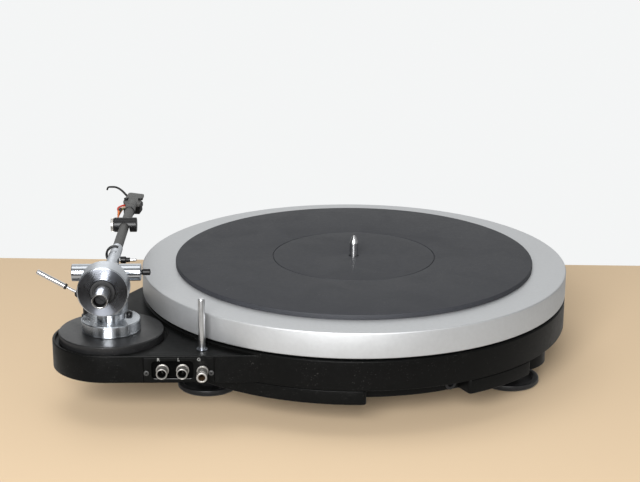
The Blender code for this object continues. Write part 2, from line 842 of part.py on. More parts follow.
def make_drive(deck):
    """Motor under the deck, crowned pulley and the flat belt round the sub-platter."""
    place = circle_point(motor_distance, motor_angle, 0)
    plate_top = deck_top - fit_gap
    plate_bottom = plate_top - motor_plate_thickness
    can_top = plate_bottom - fit_gap
    shaft_bore = motor_shaft_radius + fit_gap
    shaft_foot = can_top - motor_height / 2
    turned("motor", [
        (0, can_top - motor_height), (motor_radius - edge_round, can_top - motor_height),
        (motor_radius, can_top - motor_height + edge_round), (motor_radius, plate_bottom),
        (motor_plate_radius, plate_bottom), (motor_plate_radius, plate_top - fine_round),
        (motor_plate_radius - fine_round, plate_top), (shaft_bore, plate_top),
        (shaft_bore, shaft_foot - fit_gap), (0, shaft_foot - fit_gap)],
        STEEL, deck, place, segments=medium_segments)
    axis = empty("pulley_axis", place, deck)
    shoulder = platter_bottom + fit_gap * 2
    belt_middle = shoulder + fit_gap + subplatter_thickness / 2
    low = belt_middle - belt_width / 2 - fit_gap
    high = belt_middle + belt_width / 2 + fit_gap
    flange = pulley_radius + pulley_flange
    turned("motor_pulley", [
        (0, shaft_foot), (motor_shaft_radius, shaft_foot),
        (motor_shaft_radius, low - pulley_flange_thickness),
        (flange, low - pulley_flange_thickness), (flange, low), (pulley_radius - fit_gap, low),
        (pulley_radius, belt_middle), (pulley_radius - fit_gap, high), (flange, high),
        (flange, high + pulley_flange_thickness), (0, high + pulley_flange_thickness)],
        BRASS, axis, segments=small_segments)
    shape = bmesh.new()
    rings = []
    for offset, height in ((0, -1), (belt_thickness, -1), (belt_thickness, 1), (0, 1)):
        level = belt_middle + height * belt_width / 2
        rings.append([shape.verts.new((x, y, level)) for x, y in belt_loop(offset, fit_gap)])
    count = len(rings[0])
    for ring, following in zip(rings, rings[1:] + rings[:1]):
        for step in range(count):
            after = (step + 1) % count
            shape.faces.new((ring[step], ring[after], following[after], following[step]))
    place_mesh("drive_belt", shape, RUBBER, deck, (0, 0, 0), (0, 0, motor_angle))


def make_sockets(deck):
    """The socket panel on the wing's rear face with its signal sockets and ground post."""
    middle, turn = panel_place()
    frame = empty("panel_frame", middle, deck, (math.pi / 2, 0, turn + math.pi))
    panel = prism("socket_panel", rounded_outline(panel_length, panel_height, panel_corner - fit_gap),
                  -panel_thickness, 0, SATIN_BLACK, frame)
    window = prism("window_cutter", [(x - window_offset, y) for x, y in
                   rounded_outline(window_length, window_height, window_corner)],
                   -window_depth, overrun, MATT_BLACK, frame)
    cut(panel, window)
    hole = rca_tail_radius + fit_gap
    spots = [(-rca_right_offset, -socket_drop, 0), (-rca_left_offset, -socket_drop, 0)]
    cut(panel, *turned_set("rca_cutter", disc_profile(hole, -panel_thickness - overrun, overrun), MATT_BLACK,
        frame, spots, tiny_segments))
    seat = fit_gap - window_depth
    shelf = seat + rca_flange_thickness
    mouth = shelf + rca_barrel_length
    inner = rca_barrel_radius - rca_wall
    turned_set("rca_socket", [
        (0, -panel_thickness - rca_tail_length), (rca_tail_radius, -panel_thickness - rca_tail_length),
        (rca_tail_radius, seat), (rca_flange_radius, seat), (rca_flange_radius, shelf - fine_round),
        (rca_flange_radius - fine_round, shelf), (rca_barrel_radius, shelf),
        (rca_barrel_radius, mouth - fine_round), (rca_barrel_radius - fine_round, mouth),
        (inner, mouth), (inner, seat), (0, seat)],
        NICKEL, frame, spots, small_segments)
    turned_set("rca_insulator", ring_profile(rca_pin_bore, inner - fit_gap, seat + fit_gap,
               mouth - rca_insert_recess), MATT_BLACK, frame, spots, tiny_segments)
    reach = panel_length * panel_screw_offset_share
    spot = (reach - ground_to_screw, -socket_drop, 0)
    cut(panel, turned("ground_cutter", disc_profile(hole, -panel_thickness - overrun, overrun),
        MATT_BLACK, frame, spot, segments=tiny_segments))
    washer_top = fit_gap + ground_washer_thickness
    waist = ground_radius - ground_waist
    turned("ground_post", [
        (0, -panel_thickness - rca_tail_length), (rca_tail_radius, -panel_thickness - rca_tail_length),
        (rca_tail_radius, fit_gap), (ground_washer_radius, fit_gap), (ground_washer_radius, washer_top),
        (waist, washer_top), (waist, washer_top + ground_waist),
        (ground_radius, washer_top + ground_waist * 2),
        (ground_radius, ground_length - fine_round), (ground_radius - fine_round, ground_length),
        (ground_bore_radius, ground_length), (ground_bore_radius, ground_length - ground_bore_depth),
        (0, ground_length - ground_bore_depth)],
        NICKEL, frame, spot, segments=small_segments)
    turned_set("panel_screw", rod_profile(panel_screw_radius, fit_gap, fit_gap + panel_screw_height),
               STEEL, frame,
               [(reach, -panel_screw_drop, 0), (-reach, -panel_screw_drop, 0)], tiny_segments)


def make_key(deck):
    """The levelling key standing in its bush on the wing."""
    axis = empty("key_axis", (key_x, key_y, wing_top), deck)
    seat = -key_seat_depth
    turned("key_bush", [
        (0, seat - fit_gap * 2), (bush_radius, seat - fit_gap * 2), (bush_radius, fit_gap),
        (bush_lip_radius, fit_gap), (bush_lip_radius, bush_rise), (key_radius + fit_gap, bush_rise),
        (key_radius + fit_gap, seat - fit_gap), (0, seat - fit_gap)],
        POLISHED, axis, segments=tiny_segments)
    turned("levelling_key", rod_profile(key_radius, seat, key_rise, key_tip_round), POLISHED, axis,
           segments=tiny_segments)


def make_arm_base(arm):
    """Armboard, polished ring, pillar and the small locking screw."""
    seat = wing_top - recess_depth + fit_gap
    turned("armboard", [
        (0, deck_bottom), (armboard_spigot_radius, deck_bottom), (armboard_spigot_radius, seat),
        (armboard_radius, seat), (armboard_radius, armboard_top - armboard_chamfer),
        (armboard_radius - armboard_chamfer, armboard_top), (0, armboard_top)],
        SATIN_BLACK, arm, segments=wide_segments)
    ring_bottom = armboard_top + fit_gap
    turned("arm_base_ring", [
        (pillar_radius + fit_gap, ring_bottom), (arm_ring_radius, ring_bottom),
        (arm_ring_radius, arm_ring_top - arm_ring_chamfer),
        (arm_ring_radius - arm_ring_chamfer, arm_ring_top),
        (pillar_radius + fit_gap, arm_ring_top)],
        POLISHED, arm, segments=medium_segments)
    bore = journal_radius + fit_gap
    bore_floor = pillar_top - journal_length - journal_end_gap
    turned("arm_pillar", [
        (0, ring_bottom), (pillar_radius, ring_bottom), (pillar_radius, pillar_top - edge_round),
        (pillar_radius - edge_round, pillar_top), (bore, pillar_top), (bore, bore_floor), (0, bore_floor)],
        POLISHED, arm, segments=small_segments)
    turned("lock_screw", rod_profile(lock_screw_radius, fit_gap, lock_screw_height), MATT_BLACK,
           arm, (lock_screw_x, lock_screw_y, arm_ring_top), segments=tiny_segments)


def make_arm_rest(arm):
    """A post with a C-shaped clip, open towards the platter."""
    middle_height = pivot_height - math.tan(arm_droop) * rest_place + rest_lift
    steps = tiny_segments
    inside = arc(rest_inner_radius, rest_end_angle, rest_start_angle, steps)
    outside = []
    for step in range(steps + 1):
        share = step / steps
        angle = rest_start_angle + (rest_end_angle - rest_start_angle) * share
        wall = rest_wall * (rest_tip_share + (1 - rest_tip_share) * math.sqrt(math.sin(math.pi * share)))
        radius = rest_inner_radius + wall
        outside.append((radius * math.cos(angle), radius * math.sin(angle)))
    clip = prism("arm_rest", outside + inside, -rest_depth / 2, rest_depth / 2, MATT_BLACK, arm,
                 (0, -rest_place, middle_height), (math.pi / 2, 0, 0))
    post_top = middle_height - rest_inner_radius - rest_wall * rest_post_share
    post = turned("rest_post_join", [
        (0, wing_top + fit_gap), (rest_foot_radius, wing_top + fit_gap),
        (rest_foot_radius, wing_top + rest_foot_height), (rest_post_radius, wing_top + rest_foot_height * 2),
        (rest_post_radius, post_top), (0, post_top)],
        MATT_BLACK, arm, (0, -rest_place, 0), segments=tiny_segments)
    join(clip, post)


def make_arm_lift(arm):
    """Lift column with its plunger bar under the arm, and the lever at its side."""
    column_top = pivot_height - lever_drop + lever_hub_cover
    column_bottom = armboard_top + fit_gap
    bore = lift_plunger_radius + fit_gap
    bar_height = (pivot_height + lift_y * math.tan(arm_droop) - sleeve_radius
                  - lift_bar_gap - lift_bar_radius)
    plunger_foot = column_top - (bar_height - column_top) * plunger_depth_share
    turned("lift_column", [
        (0, column_bottom), (lift_column_foot_radius, column_bottom),
        (lift_column_foot_radius, column_bottom + lift_column_foot_height),
        (lift_column_radius, column_bottom + lift_column_foot_height),
        (lift_column_radius, column_top - fine_round), (lift_column_radius - fine_round, column_top),
        (bore, column_top), (bore, plunger_foot - fit_gap), (0, plunger_foot - fit_gap)],
        MATT_BLACK, arm, (lift_x, lift_y, 0), segments=tiny_segments)
    lift_axis = empty("lift_axis", (lift_x, lift_y, 0), arm)
    bar = turned("lift_bar", rod_profile(lift_bar_radius, -lift_bar_back, lift_bar_reach),
                 MATT_BLACK, lift_axis, (0, 0, bar_height), ALONG_MINUS_X, tiny_segments)
    plunger = turned("plunger_join", rod_profile(lift_plunger_radius, plunger_foot, bar_height), STEEL,
                     lift_axis, segments=tiny_segments)
    join(bar, plunger)
    lever_height = pivot_height - lever_drop
    hub_start = lift_column_radius + fit_gap
    lever_axis = empty("lever_axis", (lift_x + hub_start + lever_hub_radius, lift_y, lever_height), arm)
    lever_turn = (0, math.pi / 2 - lever_slope, 0)
    lever = turned("cue_lever", rod_profile(lever_hub_radius, -lever_hub_length, lever_hub_length),
                 MATT_BLACK, lever_axis, turn=ALONG_Y, segments=tiny_segments)
    rod = turned("lever_rod_join", rod_profile(lever_rod_radius, 0, lever_rod_end), STEEL, lever_axis,
                 turn=lever_turn, segments=tiny_segments)
    collar = turned("lever_collar_join", rod_profile(lever_collar_radius, lever_rod_end - fit_gap,
                    lever_rod_end + lever_collar_length), MATT_BLACK, lever_axis,
                    turn=lever_turn, segments=tiny_segments)
    grip = turned("lever_grip_join", rod_profile(lever_grip_radius, lever_rod_end, lever_end),
                  POLISHED, lever_axis, turn=lever_turn, segments=tiny_segments)
    join(lever, rod, collar, grip)


def make_turret(arm):
    """The turning part: a turret with a cross cylinder, slotted for the arm's pivot."""
    axis = empty("yaw_axis", (0, 0, 0), arm, (0, 0, 0))
    bottom = pillar_top + running_gap
    top = pivot_height + turret_top_rise
    turret = turned("arm_turret", [
        (0, pillar_top - journal_length), (journal_radius, pillar_top - journal_length),
        (journal_radius, bottom),
        (turret_radius - turret_chamfer, bottom), (turret_radius, bottom + turret_chamfer),
        (turret_radius, top - turret_chamfer), (turret_radius - turret_chamfer, top), (0, top)],
        POLISHED, axis, segments=medium_segments)
    half = cross_length / 2
    cross = turned("cross_join", rod_profile(cross_radius, -half, half, cross_chamfer), POLISHED, axis,
                   (cross_offset, 0, pivot_height), ALONG_X, small_segments)
    join(turret, cross)
    slot_half = hub_half_width + slot_clearance
    depth = hub_radius + slot_clearance
    reach = turret_radius + overrun
    corners = [(-slot_half, -reach), (slot_half, -reach), (slot_half, reach), (-slot_half, reach)]
    slot = prism("slot_cutter", corners, pivot_height - depth, top + hub_radius + overrun, MATT_BLACK, axis)
    bore_half = slot_half + trunnion_length
    bore = turned("trunnion_cutter", disc_profile(trunnion_radius + fit_gap, -bore_half, bore_half),
                  MATT_BLACK, axis, (0, 0, pivot_height), ALONG_X, tiny_segments)
    cut(turret, slot, bore)
    knob_axis = empty("bias_axis", (cross_offset - half, 0, pivot_height), axis)
    turned("bias_knob", [
        (0, fit_gap), (bias_knob_radius - bias_knob_groove, fit_gap),
        (bias_knob_radius - bias_knob_groove, fit_gap + bias_knob_groove * 2),
        (bias_knob_radius, fit_gap + bias_knob_groove * 3), (bias_knob_radius, bias_knob_length - fine_round),
        (bias_knob_radius - fine_round, bias_knob_length), (0, bias_knob_length)],
        MATT_BLACK, knob_axis, turn=ALONG_MINUS_X, segments=tiny_segments)
    return axis


def make_arm(turret_axis):
    """The tilting arm from the rear stub to the tube's collar."""
    pitch = empty("pitch_axis", (0, 0, pivot_height), turret_axis, (arm_droop, 0, 0))
    pin_half = hub_half_width + trunnion_length
    turned("pivot_hub", [
        (0, -pin_half), (trunnion_radius, -pin_half), (trunnion_radius, -hub_half_width),
        (hub_radius - edge_round, -hub_half_width), (hub_radius, edge_round - hub_half_width),
        (hub_radius, hub_half_width - edge_round), (hub_radius - edge_round, hub_half_width),
        (trunnion_radius, hub_half_width), (trunnion_radius, pin_half), (0, pin_half)],
        STEEL, pitch, turn=ALONG_X, segments=small_segments)
    root = hub_radius + fit_gap
    hole = rod_profile(side_screw_radius + fit_gap, 0, sleeve_radius + overrun)
    side_hole = turned("side_hole_cutter", hole, MATT_BLACK, pitch, (0, -side_screw_place, 0),
                       ALONG_MINUS_X, tiny_segments)
    sleeve = turned("arm_sleeve", [
        (0, root), (sleeve_radius + sleeve_lip, root), (sleeve_radius + sleeve_lip, root + edge_round * 2),
        (sleeve_radius, root + edge_round * 3), (sleeve_radius, sleeve_end - fine_round),
        (sleeve_radius - fine_round, sleeve_end), (0, sleeve_end)],
        POLISHED, pitch, turn=ALONG_MINUS_Y, segments=small_segments)
    cut(sleeve, side_hole)
    collar_end = tube_end + collar_length
    turned("arm_tube", [
        (0, sleeve_end + fit_gap), (tube_radius, sleeve_end + fit_gap), (tube_radius, tube_end),
        (collar_radius - collar_groove, tube_end), (collar_radius, tube_end + collar_groove),
        (collar_radius, tube_end + collar_length / 3),
        (collar_radius - collar_groove, tube_end + collar_length / 3 + collar_groove),
        (collar_radius - collar_groove, tube_end + collar_length / 2),
        (collar_radius - fine_round, tube_end + collar_length / 2 + fine_round),
        (collar_radius - fine_round, collar_end), (0, collar_end)],
        GREY_TUBE, pitch, turn=ALONG_MINUS_Y, segments=small_segments)
    turned("rear_stub", [
        (0, root), (stub_radius, root), (stub_radius, stub_end - fine_round),
        (stub_radius - fine_round, stub_end),
        (stub_bore_radius, stub_end), (stub_bore_radius, stub_end - stub_bore_depth),
        (0, stub_end - stub_bore_depth)],
        POLISHED, pitch, turn=ALONG_Y, segments=small_segments)
    screw_radius = stub_bore_radius - fit_gap
    screw_start = stub_end - stub_bore_depth + fit_gap
    screw_end = stub_end - stub_screw_depth
    screw = turned("stub_screw", disc_profile(screw_radius, screw_start, screw_end), STEEL, pitch,
                   turn=ALONG_Y, segments=tiny_segments)
    slot_half = stub_screw_slot_width / 2
    slot = prism("stub_slot_cutter", [(-screw_radius * 2, -slot_half), (screw_radius * 2, -slot_half),
                 (screw_radius * 2, slot_half), (-screw_radius * 2, slot_half)],
                 screw_end - stub_screw_slot_depth, screw_end + overrun, MATT_BLACK, pitch,
                 turn=(-math.pi / 2, stub_screw_slot_turn, 0))
    cut(screw, slot)
    screw_root = sleeve_radius - side_screw_bury
    weight_start_x = sleeve_radius + side_weight_inset
    weight_end_x = weight_start_x + side_weight_length
    turned("side_weight", [
        (0, screw_root), (side_screw_radius, screw_root), (side_screw_radius, weight_start_x),
        (side_weight_radius, weight_start_x), (side_weight_radius, weight_end_x - fine_round),
        (side_weight_radius - fine_round, weight_end_x), (side_screw_radius, weight_end_x),
        (side_screw_radius, sleeve_radius + side_screw_length), (0, sleeve_radius + side_screw_length)],
        MATT_BLACK, pitch, (0, -side_screw_place, 0), ALONG_MINUS_X, tiny_segments)
    return pitch


def make_counterweight(pitch):
    """A polished disc that slides on the rear stub, with a black ring let into its face."""
    axis = empty("weight_axis", (0, 0, 0), pitch)
    bore = stub_radius + fit_gap
    end = weight_start + weight_thickness
    seat = weight_ring_radius + fit_gap
    turned("counterweight", [
        (bore, weight_start), (weight_radius - weight_chamfer, weight_start),
        (weight_radius, weight_start + weight_chamfer), (weight_radius, end - weight_chamfer),
        (weight_radius - weight_chamfer, end), (seat, end), (seat, end - weight_ring_seat),
        (bore, end - weight_ring_seat)],
        POLISHED, axis, turn=ALONG_Y, segments=medium_segments)
    ring_start = end - weight_ring_seat + fit_gap
    turned("weight_ring", ring_profile(bore, weight_ring_radius, ring_start,
           ring_start + weight_ring_thickness, fine_round), RUBBER, axis, turn=ALONG_Y,
           segments=small_segments)


def make_rider(pitch):
    """A small cross weight that straddles the tube, held by a thumb screw."""
    axis = empty("rider_axis", (0, -rider_place, 0), pitch)
    half = rider_length / 2
    body = turned("rider_weight", rod_profile(rider_radius, -half, half, rider_chamfer), MATT_BLACK, axis,
                  (0, 0, rider_lift), ALONG_X, small_segments)
    channel = tube_radius + fit_gap
    drop = rider_radius * 2
    outline = arc(channel, 0, math.pi, tiny_segments // 2)
    outline = [(-channel - rider_flare, -drop)] + outline[::-1] + [(channel + rider_flare, -drop)]
    slot = prism("rider_cutter", outline[::-1], -rider_radius * 2, rider_radius * 2, MATT_BLACK, axis,
                 turn=(math.pi / 2, 0, 0))
    cut(body, slot)
    screw_start = half + fit_gap
    turned("rider_screw", rod_profile(rider_screw_radius, screw_start, screw_start + rider_screw_thickness),
           POLISHED, axis, (0, 0, rider_lift - rider_screw_radius / 2), ALONG_X, tiny_segments)


def headshell_outline():
    """A plate that narrows towards its front, which lies at -Y."""
    half = headshell_length / 2
    front = headshell_front_width / 2
    rear = headshell_rear_width / 2
    corners = [(rear, half, 0), (-rear, half, 90), (-front, -half, 180), (front, -half, 270)]
    points = []
    for x, y, start in corners:
        middle = (x - math.copysign(headshell_corner, x), y - math.copysign(headshell_corner, y))
        first = math.radians(start)
        points += arc(headshell_corner, first, first + math.pi / 2, corner_steps, middle)
    return points


def slot_outline(middle_x):
    """A long hole with round ends, along Y."""
    half = slot_length / 2 - slot_width / 2
    radius = slot_width / 2
    return (arc(radius, 0, math.pi, tiny_segments // 2, (middle_x, half + slot_shift))
            + arc(radius, math.pi, math.tau, tiny_segments // 2, (middle_x, slot_shift - half)))


def make_headshell(pitch):
    """The slotted plate with the cartridge under it, its leads and the finger lift."""
    frame = empty("headshell_frame", (0, -headshell_place, headshell_top), pitch, (0, 0, headshell_turn))
    plate = prism("headshell", headshell_outline(), -headshell_thickness, 0, GREY_TUBE, frame,
                  chamfer=fine_round)
    for side in (1, -1):
        tool = prism(f"slot_cutter_{side + 1}", slot_outline(side * cartridge_hole_spacing / 2),
                     -headshell_thickness - overrun, overrun, MATT_BLACK, frame)
        cut(plate, tool)
    collar_seat = turned("collar_seat_cutter", rod_profile(collar_radius + fit_gap, -headshell_length,
                         tube_end + collar_length + fit_gap * 2 - headshell_place), MATT_BLACK, pitch,
                         (0, -headshell_place, 0), ALONG_MINUS_Y, small_segments)
    cut(plate, collar_seat)
    under = -headshell_thickness - fit_gap
    half_width = cartridge_width / 2
    nose = half_width * cartridge_nose_share
    half = cartridge_length / 2
    outline = [(half_width, half), (-half_width, half),
               (-half_width, -half * cartridge_shoulder_share), (-nose, -half),
               (nose, -half), (half_width, -half * cartridge_shoulder_share)]
    body_bottom = under - cartridge_height
    prism("cartridge_body", outline, body_bottom, under, MATT_BLACK, frame, (0, cartridge_back_shift, 0),
          chamfer=fine_round)
    turned_set("cartridge_screw", rod_profile(mount_screw_head_radius, fit_gap,
               fit_gap + mount_screw_head_height), STEEL, frame,
               [(side * cartridge_hole_spacing / 2, slot_shift + slot_length / 4, 0) for side in (1, -1)],
               tiny_segments)
    tip_y = cartridge_back_shift - half - cantilever_length / 2
    root = cartridge_back_shift - half * cantilever_root_share
    start = Vector((0, root, body_bottom - fit_gap - cantilever_radius))
    tip = Vector((0, tip_y, body_bottom - stylus_drop + cantilever_radius))
    wire("stylus", [[start, start.lerp(tip, 0.5), tip]], cantilever_radius, STEEL, frame)
    edge = headshell_front_width / 2 + finger_radius + fit_gap
    root = -headshell_length * finger_root_share
    finger = [Vector((edge, root, -headshell_thickness / 2))]
    for across, forward, rise in finger_shares:
        place = (edge + finger_span * across, root - finger_forward * forward, finger_rise * rise)
        finger.append(Vector(place))
    wire("finger_lift", [smooth_path(finger, 4)], finger_radius, MATT_BLACK, frame)
    back = cartridge_back_shift + half + lead_radius + fit_gap
    level = under - cartridge_height * lead_level_share
    end = Vector((half_width * lead_end_share, back + lead_reach, level + lead_rise))
    leads = turned("cartridge_leads", rod_profile(lead_sleeve_radius, -fine_round, lead_sleeve_length),
                   LEAD, frame, end, ALONG_Y, tiny_segments)
    for number in range(lead_count):
        shift = (number - (lead_count - 1) / 2) * lead_spread
        x = shift + half_width * lead_start_share
        path = [Vector((x, back, level))]
        for across, reach, rise in lead_shares:
            place = (x + lead_bulge * across, back + lead_reach * reach, level + lead_rise * rise)
            path.append(Vector(place))
        path.append(Vector((end.x + shift * lead_gather_share, end.y + fine_round, end.z)))
        join(leads, wire_tool(f"lead_join_{number}", smooth_path(path, 3), lead_radius, LEAD, frame))


def centre_of_box(deck):
    """Move everything so that the box of all visible solids stands on the origin."""
    bpy.context.view_layer.update()
    graph = bpy.context.evaluated_depsgraph_get()
    low = Vector((math.inf, math.inf, math.inf))
    high = -low
    for item in bpy.context.scene.objects:
        if item.type == "EMPTY" or item.hide_render:
            continue
        made = item.evaluated_get(graph)
        mesh = made.to_mesh()
        for vertex in mesh.vertices:
            point = made.matrix_world @ vertex.co
            low = Vector(map(min, low, point))
            high = Vector(map(max, high, point))
        made.to_mesh_clear()
    deck.location = (-(low.x + high.x) / 2, -(low.y + high.y) / 2, 0)
    bpy.context.view_layer.update()


def main():
    for old in list(bpy.data.objects):
        bpy.data.objects.remove(old, do_unlink=True)
    deck = empty("spindle_place", (0, 0, 0))
    arm = empty("arm_place", (arm_x, arm_y, 0), deck, (0, 0, arm_rest_turn))
    make_plinth(deck)
    make_base(deck)
    make_feet(deck)
    make_pods(deck)
    make_bearing(deck)
    make_platter(deck)
    make_drive(deck)
    make_buttons(deck)
    make_sockets(deck)
    make_key(deck)
    make_arm_base(arm)
    make_arm_rest(arm)
    make_arm_lift(arm)
    turret_axis = make_turret(arm)
    pitch = make_arm(turret_axis)
    make_counterweight(pitch)
    make_rider(pitch)
    make_headshell(pitch)
    centre_of_box(deck)


main()
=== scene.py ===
# %% [markdown]
# # A belt-drive turntable, dressed piece by piece
# The machine is a round black deck on three feet, with a wing that carries the arm.
# The imported model is the frame: it says where each piece is and what moves it.
# We load it first.
# The dressed object has to stay that size.

# %% Load the frame
import json
from math import asin, cos, pi, radians, sin, sqrt, tan, tau

import bmesh
import bpy
from mathutils import Euler, Matrix, Vector

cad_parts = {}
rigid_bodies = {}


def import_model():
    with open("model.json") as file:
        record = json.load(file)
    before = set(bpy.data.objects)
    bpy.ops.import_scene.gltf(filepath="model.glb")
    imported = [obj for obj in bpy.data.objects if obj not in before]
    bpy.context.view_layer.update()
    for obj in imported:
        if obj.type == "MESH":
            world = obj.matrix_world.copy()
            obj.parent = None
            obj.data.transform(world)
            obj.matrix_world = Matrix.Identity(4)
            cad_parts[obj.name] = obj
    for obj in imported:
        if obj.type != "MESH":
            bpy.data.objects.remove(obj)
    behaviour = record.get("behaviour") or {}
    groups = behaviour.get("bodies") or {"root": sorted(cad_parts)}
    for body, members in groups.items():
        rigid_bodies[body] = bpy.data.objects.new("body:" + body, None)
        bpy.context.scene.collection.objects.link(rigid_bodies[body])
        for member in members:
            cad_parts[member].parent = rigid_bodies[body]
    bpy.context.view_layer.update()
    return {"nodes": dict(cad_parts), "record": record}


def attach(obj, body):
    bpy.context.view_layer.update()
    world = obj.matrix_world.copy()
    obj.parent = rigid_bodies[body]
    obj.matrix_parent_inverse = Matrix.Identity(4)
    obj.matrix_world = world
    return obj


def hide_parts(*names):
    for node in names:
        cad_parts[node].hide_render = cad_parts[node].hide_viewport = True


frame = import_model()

mm = 0.001
record = frame["record"]
body_of = {node: body for body, nodes in record["behaviour"]["bodies"].items() for node in nodes}

# %% [markdown]
# The photograph was taken from in front and a little above, with a long lens.
# We could aim a camera by eye, but three angles and one place are easier to check:
# the pan, the dip below level and a slight roll. The lens follows from the frame's width.

# %% Camera
spindle = Vector((-34.907, -8.102, 0.0)) * mm
pan, dip, roll = radians(-1.355), radians(16.846), radians(-0.289)
forward = Vector((-sin(pan) * cos(dip), -cos(pan) * cos(dip), -sin(dip)))
level = Vector((-cos(pan), sin(pan), 0.0))
down = forward.cross(level)
across = level * cos(roll) + down * sin(roll)
fall = down * cos(roll) - level * sin(roll)

camera_data = bpy.data.cameras.new("photo_camera")
camera_data.sensor_fit = "HORIZONTAL"
camera_data.sensor_width = 36.0
camera_data.lens = 84.17
camera = bpy.data.objects.new("photo_camera", camera_data)
stand_point = spindle + Vector((0.0, 1189.4, 458.96)) * mm
camera.matrix_world = (Matrix.Translation(stand_point)
                       @ Matrix((across, -fall, -forward)).transposed().to_4x4())
bpy.context.scene.collection.objects.link(camera)
bpy.context.scene.camera = camera
bpy.context.scene.view_settings.view_transform = "Standard"
print("the camera looks along", [round(x, 3) for x in forward])

# %% [markdown]
# Every piece is first drawn in the place that suits it: the platter round its spindle,
# the arm's pieces round their own pivot. A matrix then carries it to where it belongs.
# Nested frames do the work of the real joints, so one angle turns the whole arm.
# Sizes are written in millimetres from here on. The helpers turn them into metres.

# %% Places that pieces are drawn in
def at(x, y, z=0.0):
    """A shift in millimetres, as a matrix."""
    return Matrix.Translation(Vector((x, y, z)) * mm)


def turn(degrees, axis):
    """A turn about one axis, as a matrix."""
    return Matrix.Rotation(radians(degrees), 4, axis)


pivot_height, droop = 108.9, radians(0.7)
deck = Matrix.Translation(spindle)
arm = at(149.0922, 113.4075) @ turn(3.5, "Z")
tilt = arm @ at(0, 0, pivot_height) @ Matrix.Rotation(droop, 4, "X")
head = tilt @ at(0, -225.5, -1.15) @ turn(-6, "Z")
along_y, along_minus_y = turn(-90, "X"), turn(90, "X")
along_x, along_minus_x = turn(90, "Y"), turn(-90, "Y")
print("arm pivot stands at", [round(1000 * x, 1) for x in tilt.translation])

# %% [markdown]
# Almost everything on a turntable is turned on a lathe, so the main helper spins a profile.
# A modifier could spin it, but built rings let us keep two numbers at each point, the radius
# and the height on the lathe. They are stored as a UV map that the tool marks follow later.
# Real edges are never sharp: a profile point may carry a third number, its rounding.

# %% Profiles and the lathe
def soften(points, closed, steps):
    """Turns each corner that carries a rounding into a small arc."""
    made = []
    count = len(points)
    for index, point in enumerate(points):
        corner = Vector(point[:2])
        wanted = point[2] if len(point) > 2 else 0.0
        before = Vector(points[index - 1][:2]) - corner
        after = Vector(points[(index + 1) % count][:2]) - corner
        if wanted <= 0 or (not closed and index in (0, count - 1)):
            made.append(tuple(corner))
            continue
        half = before.angle(after) / 2
        reach = min(wanted / tan(half), 0.49 * before.length, 0.49 * after.length)
        middle = corner + (before.normalized() + after.normalized()).normalized() * reach / cos(half)
        start = corner + before.normalized() * reach - middle
        end = corner + after.normalized() * reach - middle
        swing = start.angle(end)
        for step in range(steps + 1):
            share = step / steps
            arm_out = (start * sin((1 - share) * swing) + end * sin(share * swing)) / sin(swing)
            made.append(tuple(middle + arm_out))
    return made


def skin(shape, rings):
    """Joins each ring of vertices to the next; a ring may shrink to one vertex."""
    for low, high in zip(rings, rings[1:]):
        for k in range(len(low)):
            after = (k + 1) % len(low)
            corners = []
            for vertex in (low[k], low[after], high[after], high[k]):
                if vertex not in corners:
                    corners.append(vertex)
            if len(corners) > 2:
                shape.faces.new(corners)


def lathe(points, segments, closed=False, steps=4):
    """Spins a profile of (radius, height) round Z, and stores both as the UV map 'turned'."""
    points = [[value * mm for value in point] for point in points]
    shape = bmesh.new()
    marks = shape.loops.layers.uv.new("turned")
    rings = []
    for radius, height in soften(points, closed, steps):
        if radius < 1e-7:
            rings.append([shape.verts.new((0.0, 0.0, height))] * segments)
        else:
            rings.append([shape.verts.new((radius * cos(tau * k / segments),
                                           radius * sin(tau * k / segments), height))
                          for k in range(segments)])
    skin(shape, rings + (rings[:1] if closed else []))
    for face in shape.faces:
        for loop in face.loops:
            spot = loop.vert.co
            loop[marks].uv = (sqrt(spot.x ** 2 + spot.y ** 2), spot.z)
    bmesh.ops.recalc_face_normals(shape, faces=shape.faces)
    return shape


# %% [markdown]
# Plates such as the wing, the headshell and the socket panel are flat outlines given a
# thickness. Extruding one leaves knife edges, so the walls are built from rings that
# step inwards near the top and bottom, which gives each rim a true round.

# %% Plates with soft rims
def arc(radius, start, end, steps, middle=(0.0, 0.0)):
    """Points along an arc, both ends included."""
    angles = [start + (end - start) * step / steps for step in range(steps + 1)]
    return [(middle[0] + radius * cos(a), middle[1] + radius * sin(a)) for a in angles]


def round_spot(radius, angle):
    """The point of a circle round the middle that lies at an angle."""
    return (radius * cos(angle), radius * sin(angle))


def rounded_rectangle(length, height, radius, steps=6):
    points = []
    for quarter, (side_x, side_y) in enumerate([(1, 1), (-1, 1), (-1, -1), (1, -1)]):
        middle = (side_x * (length / 2 - radius), side_y * (height / 2 - radius))
        points += arc(radius, quarter * pi / 2, (quarter + 1) * pi / 2, steps, middle)
    return points


def inset(outline, distance):
    """The same anticlockwise outline, moved inwards."""
    made = []
    for index, point in enumerate(outline):
        here = Vector(point)
        first = (here - Vector(outline[index - 1])).normalized()
        second = (Vector(outline[(index + 1) % len(outline)]) - here).normalized()
        inward = Vector((-(first.y + second.y), first.x + second.x)).normalized()
        lean = max(inward.dot(Vector((-first.y, first.x))), 0.4)
        made.append(tuple(here + inward * distance / lean))
    return made


